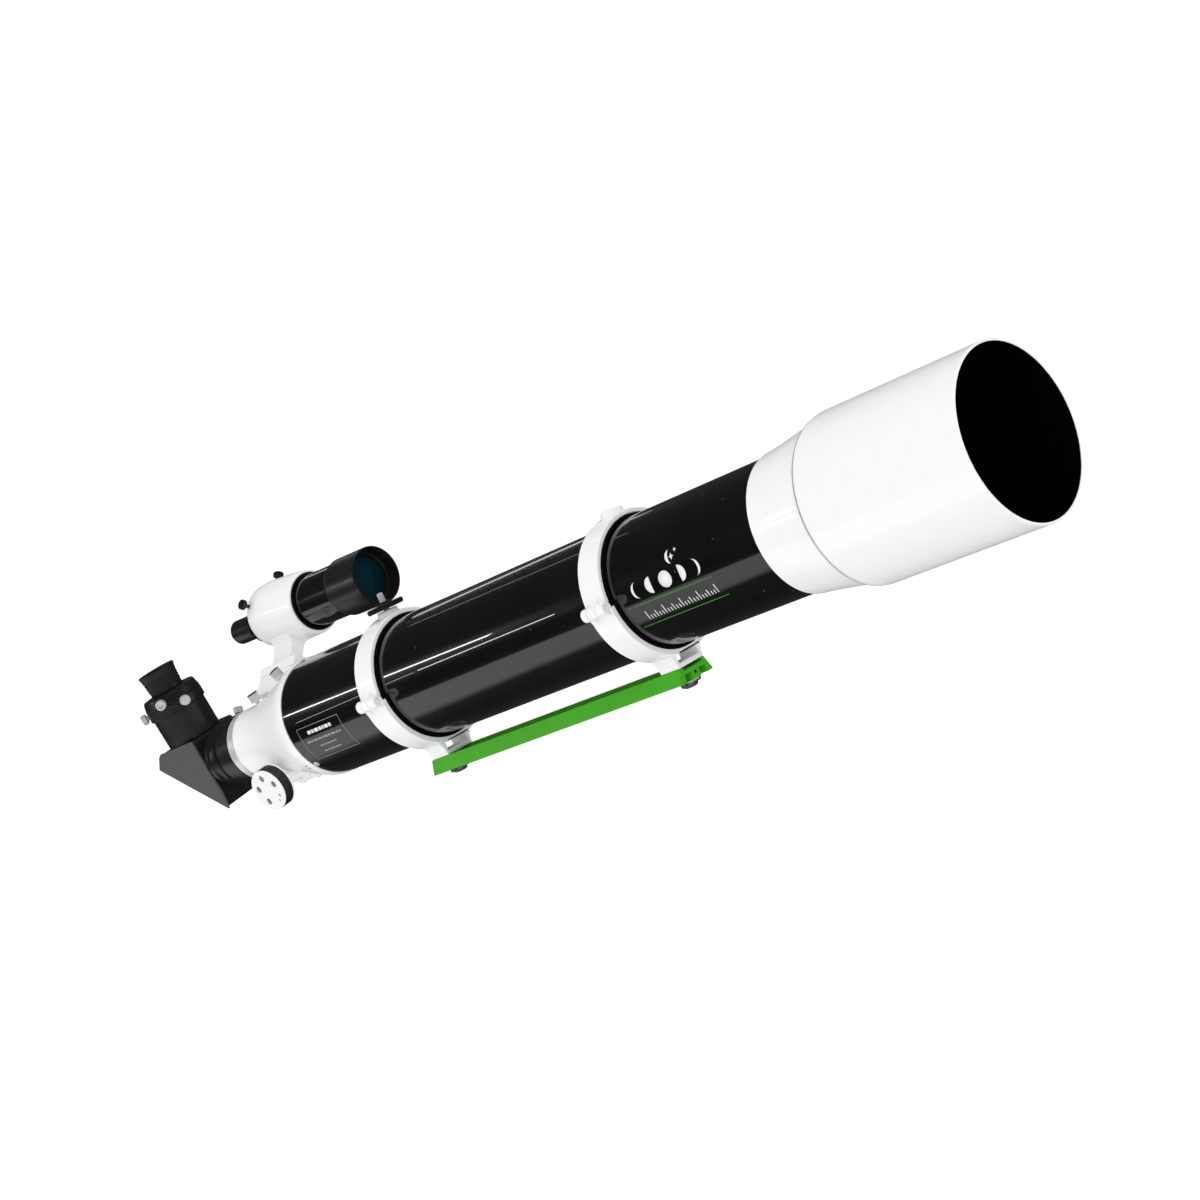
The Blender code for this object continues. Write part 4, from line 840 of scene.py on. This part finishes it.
def build_eyepiece(stack):
    """Holder, adapter, eyepiece and their screws, above the housing's top."""
    upright = along(stack, (0, 0, 0), (0, 0, 1))
    turned("holder_sleeve", mm((44, 25.7), (44, 31.2), (43.4, 31.8), (33.6, 31.8), (33, 31.2),
                               (33, 29.6), (0, 29.4), (-0.4, 25.7)),
           "black_anodised", upright, "diagonal", ("eyepiece_holder",), steps=160,
           soft=0.4 * MM)
    turned("adapter_body", mm((55, 16.2), (55, 28.6), (54, 29.4), (51, 30.4), (46.6, 31.2),
                              (46, 31.7), (44.3, 31.7), (44.3, 25.1), (15, 25.1), (15, 16.2)),
           "black_anodised", upright, "adapter", ("eyepiece_adapter",), steps=160,
           soft=0.5 * MM)
    seat = 31.7 * MM
    for name, node, azimuth, height, socket in (
            ("holder_clamp_front", "holder_screw_front", 20, 39.8 * MM, 0.0),
            ("holder_clamp_rear", "holder_screw_rear", 134, 39.8 * MM, 0.0),
            ("adapter_clamp", "adapter_screw", 58, 47.8 * MM, 3.3 * MM)):
        turn = math.radians(azimuth)
        outward = (math.cos(turn), -math.sin(turn), 0)
        reach = 15 * MM if socket else 5.6 * MM
        thumbscrew(name, stack, (seat * outward[0], seat * outward[1], height), outward,
                   name, node, head=5.6 * MM, length=5.6 * MM, lift=2.2 * MM,
                   reach=reach, socket=socket, ridges=18)
    turned("eyepiece_barrel", mm((71, 10.6), (71, 14.4), (70, 15), (59, 15), (59, 18), (55.6, 18),
                                 (55.6, 15.8), (27, 15.8), (27, 14), (64, 14), (66, 10.6)),
           "black_anodised", upright, "eyepiece", ("eyepiece_body",), soft=0.4 * MM)
    bulge = [(70.4 * MM - 0.7 * MM * (i / 5) ** 2, 10.4 * MM * i / 5) for i in range(6)]
    turned("eyepiece_lens", bulge + mm((66.8, 10.4), (66.8, 0)),
           "coated_glass", upright, "eyepiece", ("eye_lens",), soft=0)
    folds = []
    for index in range(4):
        base = 73.5 * MM - index * 3.6 * MM
        radius = 19.1 * MM - index * 0.28 * MM
        folds += [(base, radius + 0.35 * MM), (base - 1.4 * MM, radius + 0.3 * MM),
                  (base - 1.8 * MM, radius - 0.2 * MM), (base - 3.2 * MM, radius - 0.25 * MM)]
    cup = (mm((80, 19.3), (80.1, 20.4), (79.2, 20.7), (76, 19.8)) + folds
           + mm((58.6, 18.1), (58.6, 15.2), (72, 15.2), (75, 17)))
    turned("eyecup_rubber", cup, "black_rubber", upright, "eyepiece", ("eyecup",),
           soft=0.35 * MM)


# Finder -------------------------------------------------------------------------------------
def build_finder():
    build_finder_shoe()
    build_bracket()
    build_scope()
    build_scope_screws()


def build_finder_shoe():
    shoe = mm((-16, 62.2), (16, 62.2), (16, 72), (10.6, 72), (12.8, 65.5), (-12.8, 65.5),
              (-10.6, 72), (-16, 72))
    rear, front = -412 * MM, -352 * MM
    slab("shoe_channel", shoe, "X", rear, front, "white_enamel", FINDER, "optical_tube",
         ("finder_shoe",), bevel=0.6 * MM)
    pedestal = mm((-21, 40), (21, 40), (16.5, 56), (15.6, 62.4), (-15.6, 62.4), (-16.5, 56))
    slab("shoe_pedestal", pedestal, "X", rear, front, "white_enamel", FINDER,
         "optical_tube", bevel=1.2 * MM)
    thumbscrew("shoe_clamp", FINDER, (-364 * MM, 16 * MM, 69 * MM), (0, 1, 0), "shoe_clamp",
               "shoe_clamp_screw", head=5 * MM, length=7 * MM, lift=2 * MM, reach=3.4 * MM)


def build_bracket():
    """The barrel, which leans a little against the tube, and its stalk and dovetail foot."""
    barrel = along(FINDER, (FINDER_PIVOT_X, 0, FINDER_OFFSET), BARREL_AXIS)

    def leaning(name, profile, paint, nodes=(), **options):
        turned(name, [(x * MM - FINDER_PIVOT_X, r * MM) for x, r in profile], paint, barrel,
               "bracket", nodes, **options)

    leaning("bracket_barrel",
            [(-343, 28.4), (-343, 31.6), (-343.6, 32.6), (-346, 33.5), (-350, 34.0),
             (-356, 34.3), (-366, 34.7), (-376, 34.9), (-388, 35.1), (-397, 35.0),
             (-405, 34.5), (-411, 33.7), (-416, 32.3), (-419, 30.8), (-420.2, 29.2),
             (-419.6, 28.4), (-412, 29.6), (-404, 31), (-392, 31.8), (-376, 31.8),
             (-358, 31), (-348, 30), (-348, 28.4)],
            "white_enamel", ("finder_bracket",), steps=160, soft=0.5 * MM)
    leaning("bracket_lining", [(-349, 30.0), (-349, 29.8), (-358, 30.8), (-376, 31.6),
                               (-392, 31.6), (-404, 30.8), (-412, 29.4), (-419, 28.4),
                               (-419, 28.6), (-412, 29.6), (-404, 31), (-392, 31.8),
                               (-376, 31.8), (-358, 31)],
            "matt_black_lining_and_hole_shade", steps=96, soft=0)
    leaning("bracket_ring", [(-343.4, 27.9), (-342.4, 28.3), (-342.2, 29.6), (-342.6, 30.8),
                             (-345, 31), (-346, 27.9)], "black_rubber", steps=128,
            soft=0.4 * MM)
    side = [(12, 72.6), (9.5, 75), (7.6, 80), (8.2, 92), (10, 97.6), (15, 102.1)]
    stalk = mm(*((-y, z) for y, z in reversed(side))) + mm(*side)
    slab("bracket_stalk", stalk, "X", -402 * MM, -370 * MM, "white_enamel", FINDER, "bracket",
         bevel=2.2 * MM)
    foot = mm((-11.8, 72.4), (-10.2, 72.4), (-12.2, 65.9), (12.2, 65.9), (10.2, 72.4),
              (11.8, 72.4), (8, 76.5), (-8, 76.5))
    slab("bracket_foot", foot, "X", -410 * MM, -360 * MM, "white_enamel", FINDER, "bracket",
         bevel=0.8 * MM)


def build_scope():
    """The finder itself, in stations along the main tube although it turns on its pivot."""
    scope = along(SCOPE, (0, 0, 0), (1, 0, 0))

    def scoped(name, profile, paint, body, nodes=(), **options):
        turned(name, [(x * MM - FINDER_PIVOT_X, r * MM) for x, r in profile], paint, scope,
               body, nodes, **options)

    scoped("scope_tube", [(-268, 24), (-268, 26.4), (-288.5, 26.4), (-288.5, 27.4),
                          (-349, 27.4), (-351, 21.5), (-436, 21.5), (-440, 17), (-440, 12.4),
                          (-432, 12.4), (-432, 19), (-354, 19), (-346, 24.6), (-286, 24.6)],
           "black_gloss_paint", "scope", ("finder_tube",), steps=160, soft=0.3 * MM)
    scoped("scope_cell", [(-237, 28.3), (-237, 29.3), (-237.9, 30.1), (-283.5, 30.1),
                          (-285.5, 29.5), (-288, 28.2), (-288, 27.2), (-263.6, 27.2),
                          (-263.6, 26.2), (-256, 26.2), (-256, 25.2), (-253.5, 25.2),
                          (-252.5, 28.3)],
           "black_anodised", "scope_front", ("finder_cell",), steps=160, soft=0.35 * MM)
    scoped("scope_cell_lining", [(-237.3, 28.2), (-237.3, 28.35), (-252.4, 28.35),
                                 (-252.4, 28.2)],
           "black_anodised", "scope_front", steps=128, soft=0)
    lens = [(-256.6 + 1.6 * (1 - (i / 8) ** 2), 26 * i / 8) for i in range(9)]
    scoped("scope_glass", lens + [(-262.6, 26), (-262.6, 0)], "coated_glass", "scope_front",
           ("finder_objective",), steps=128, soft=0)
    scoped("scope_eyepiece", [(-424, 9.5), (-424, 12), (-440.4, 12), (-440.4, 13),
                              (-447, 13), (-447.6, 12.5), (-449, 12.5), (-449.6, 13.1),
                              (-470, 13.1), (-478.6, 13.1), (-480.5, 11.8), (-480.5, 8.5),
                              (-476, 9.5)],
           "black_anodised", "scope", ("finder_eyepiece",), soft=0.4 * MM)
    scoped("scope_eye_lens", [(-478.4, 0), (-478, 8.7), (-475, 8.7), (-475, 0)],
           "coated_glass", "scope", soft=0)


def build_scope_screws():
    """Two adjusting screws and the sprung plunger that pushes against them."""
    station = -410 * MM
    behind = station - FINDER_PIVOT_X
    surface = 34.0 * MM
    for name, node, azimuth, head, lift, tip in (
            ("scope_screw_top", "finder_screw_top", 0, 5.4 * MM, 8 * MM, 20.4 * MM),
            ("scope_screw_side", "finder_screw_side", -90, 5.4 * MM, 5 * MM, 19.8 * MM),
            ("scope_plunger", "finder_plunger", 135, 4.4 * MM, 3 * MM, 24.4 * MM)):
        outward = around(azimuth)
        seat = (station, BARREL_AXIS[1] * behind + surface * outward[1],
                FINDER_OFFSET + BARREL_AXIS[2] * behind + surface * outward[2])
        thumbscrew(name, FINDER, seat, outward, name, node, head=head, length=5.5 * MM,
                   lift=lift, reach=surface - tip, paint="black_anodised", ridges=16)


def dress_hidden_nodes():
    """CAD pieces that stay as they are get the better material of their slot."""
    slots = {part["node"]: part["material_slot"] for part in frame["record"]["subparts"]}
    for name, obj in frame["nodes"].items():
        if not obj.hide_render:
            for index in range(len(obj.data.materials)):
                obj.data.materials[index] = PAINT[slots[name]]


# Camera, floor and light --------------------------------------------------------------------
def build_camera():
    """The viewpoint: ahead of the telescope, to its right, looking slightly down and rolled.

    The camera starts looking straight down and is turned about X, then Y, then Z.
    """
    position = (1.7439, -1.6552, 0.2059)
    turn_degrees = (86.98, 25.045, 43.42)
    camera = bpy.data.cameras.new("photo_camera")
    camera.sensor_width = 36.0
    camera.lens = 78.7
    camera.clip_end = 100.0
    obj = bpy.data.objects.new("photo_camera", camera)
    bpy.context.scene.collection.objects.link(obj)
    turn = Euler([math.radians(angle) for angle in turn_degrees]).to_matrix().to_4x4()
    obj.matrix_world = Matrix.Translation(position) @ turn
    bpy.context.scene.camera = obj


def area_light(name, start, end, width, power, glossy=True, diffuse=True):
    """A rectangular lamp from start to end, facing the middle of the tube."""
    start, end = Vector(start), Vector(end)
    middle = (start + end) / 2
    lamp = bpy.data.lights.new(name, "AREA")
    lamp.shape = "RECTANGLE"
    lamp.size = (end - start).length
    lamp.size_y = width
    lamp.energy = power
    obj = bpy.data.objects.new(name, lamp)
    bpy.context.scene.collection.objects.link(obj)
    x_axis = (end - start).normalized()
    z_axis = (middle - Vector((0, 0, AXIS_HEIGHT))).normalized()
    z_axis = (z_axis - x_axis * z_axis.dot(x_axis)).normalized()
    y_axis = z_axis.cross(x_axis)
    turn = Matrix((x_axis, y_axis, z_axis)).transposed().to_4x4()
    obj.matrix_world = Matrix.Translation(middle) @ turn
    obj.visible_glossy = glossy
    obj.visible_diffuse = diffuse
    obj.visible_camera = False


def build_world():
    """White surroundings; glossy surfaces mirror a dark room with a pale low band.

    The band lies on the observer's side only, which is towards -Y.
    """
    dark = 0.03
    world = bpy.data.worlds.new("studio")
    bpy.context.scene.world = world
    world.use_nodes = True
    tree = world.node_tree
    links = tree.links
    split = add_node(tree, "SeparateXYZ")
    links.new(add_node(tree, "TexCoord").outputs["Generated"], split.inputs["Vector"])
    height = add_node(tree, "MapRange", From_Min=-1.0)
    links.new(split.outputs["Z"], height.inputs["Value"])
    # Shade by height: 0 is straight down, 0.5 the horizon and 1 straight up.
    shades = ((0.0, 0.05), (0.19, 0.05), (0.22, 0.8), (0.374, 1.0), (0.386, dark), (1.0, dark))
    bands = add_ramp(tree, height.outputs["Result"],
                     [(position, grey(shade)) for position, shade in shades])
    side = add_node(tree, "MapRange", From_Min=0.05, From_Max=-0.10)
    links.new(split.outputs["Y"], side.inputs["Value"])
    near_side = add_mix(tree, side.outputs["Result"], (*grey(dark), 1), bands)
    mirrored = add_node(tree, "LightPath").outputs["Is Glossy Ray"]
    background = tree.nodes["Background"]
    links.new(add_mix(tree, mirrored, (*grey(1.0), 1), near_side), background.inputs["Color"])
    background.inputs["Strength"].default_value = 1.1


def build_floor():
    """A plain pale floor, well below and too wide for its edge to show."""
    half_size = 60.0
    drop = 0.9
    shell = bmesh.new()
    bmesh.ops.create_grid(shell, x_segments=1, y_segments=1, size=half_size)
    floor_mesh = bpy.data.meshes.new("floor")
    shell.to_mesh(floor_mesh)
    shell.free()
    floor = bpy.data.objects.new("floor", floor_mesh)
    floor.location = (0, 0, -drop)
    bpy.context.scene.collection.objects.link(floor)
    floor_mesh.materials.append(make_paint("pale_floor", (0.99, 0.99, 0.99), 1.0,
                                           grain=2.0, variation=0.002, bump=0, specular=0))
    floor.visible_glossy = False


def build_studio():
    build_world()
    build_floor()
    # Thin strips draw the streaks along the tube: name, start, end, width and power.
    for name, start, end, width, power in (
            ("streak_upper", (-1.62, -0.93, 0.66), (-1.10, -0.99, 0.565), 0.036, 1.3),
            ("streak_lower_rear", (-1.60, -1.072, 0.318), (-1.29, -1.056, 0.392), 0.014, 0.10),
            ("streak_lower", (-1.28, -1.056, 0.394), (-0.96, -1.060, 0.392), 0.018, 0.36),
            ("top_strip", (-1.50, 0.72, 0.95), (-0.80, 0.90, 0.72), 0.10, 0.35),
            ("top_thin_strip", (-1.30, 0.36, 1.12), (-0.80, 0.28, 1.15), 0.03, 0.05)):
        area_light(name, start, end, width, power, diffuse=False)
    area_light("key_light", (0.6, -2.2, 2.0), (2.6, -1.2, 2.0), 1.4, 4.0, glossy=False)
    bpy.context.scene.view_settings.view_transform = "Standard"


build_bar()
for ring_end, ring_rear_edge in RING_REAR_EDGES.items():
    build_ring(ring_end, ring_rear_edge)
build_piggyback()
build_tube()
build_print()
build_focuser()
build_diagonal()
build_finder()
dress_hidden_nodes()
build_camera()
build_studio()
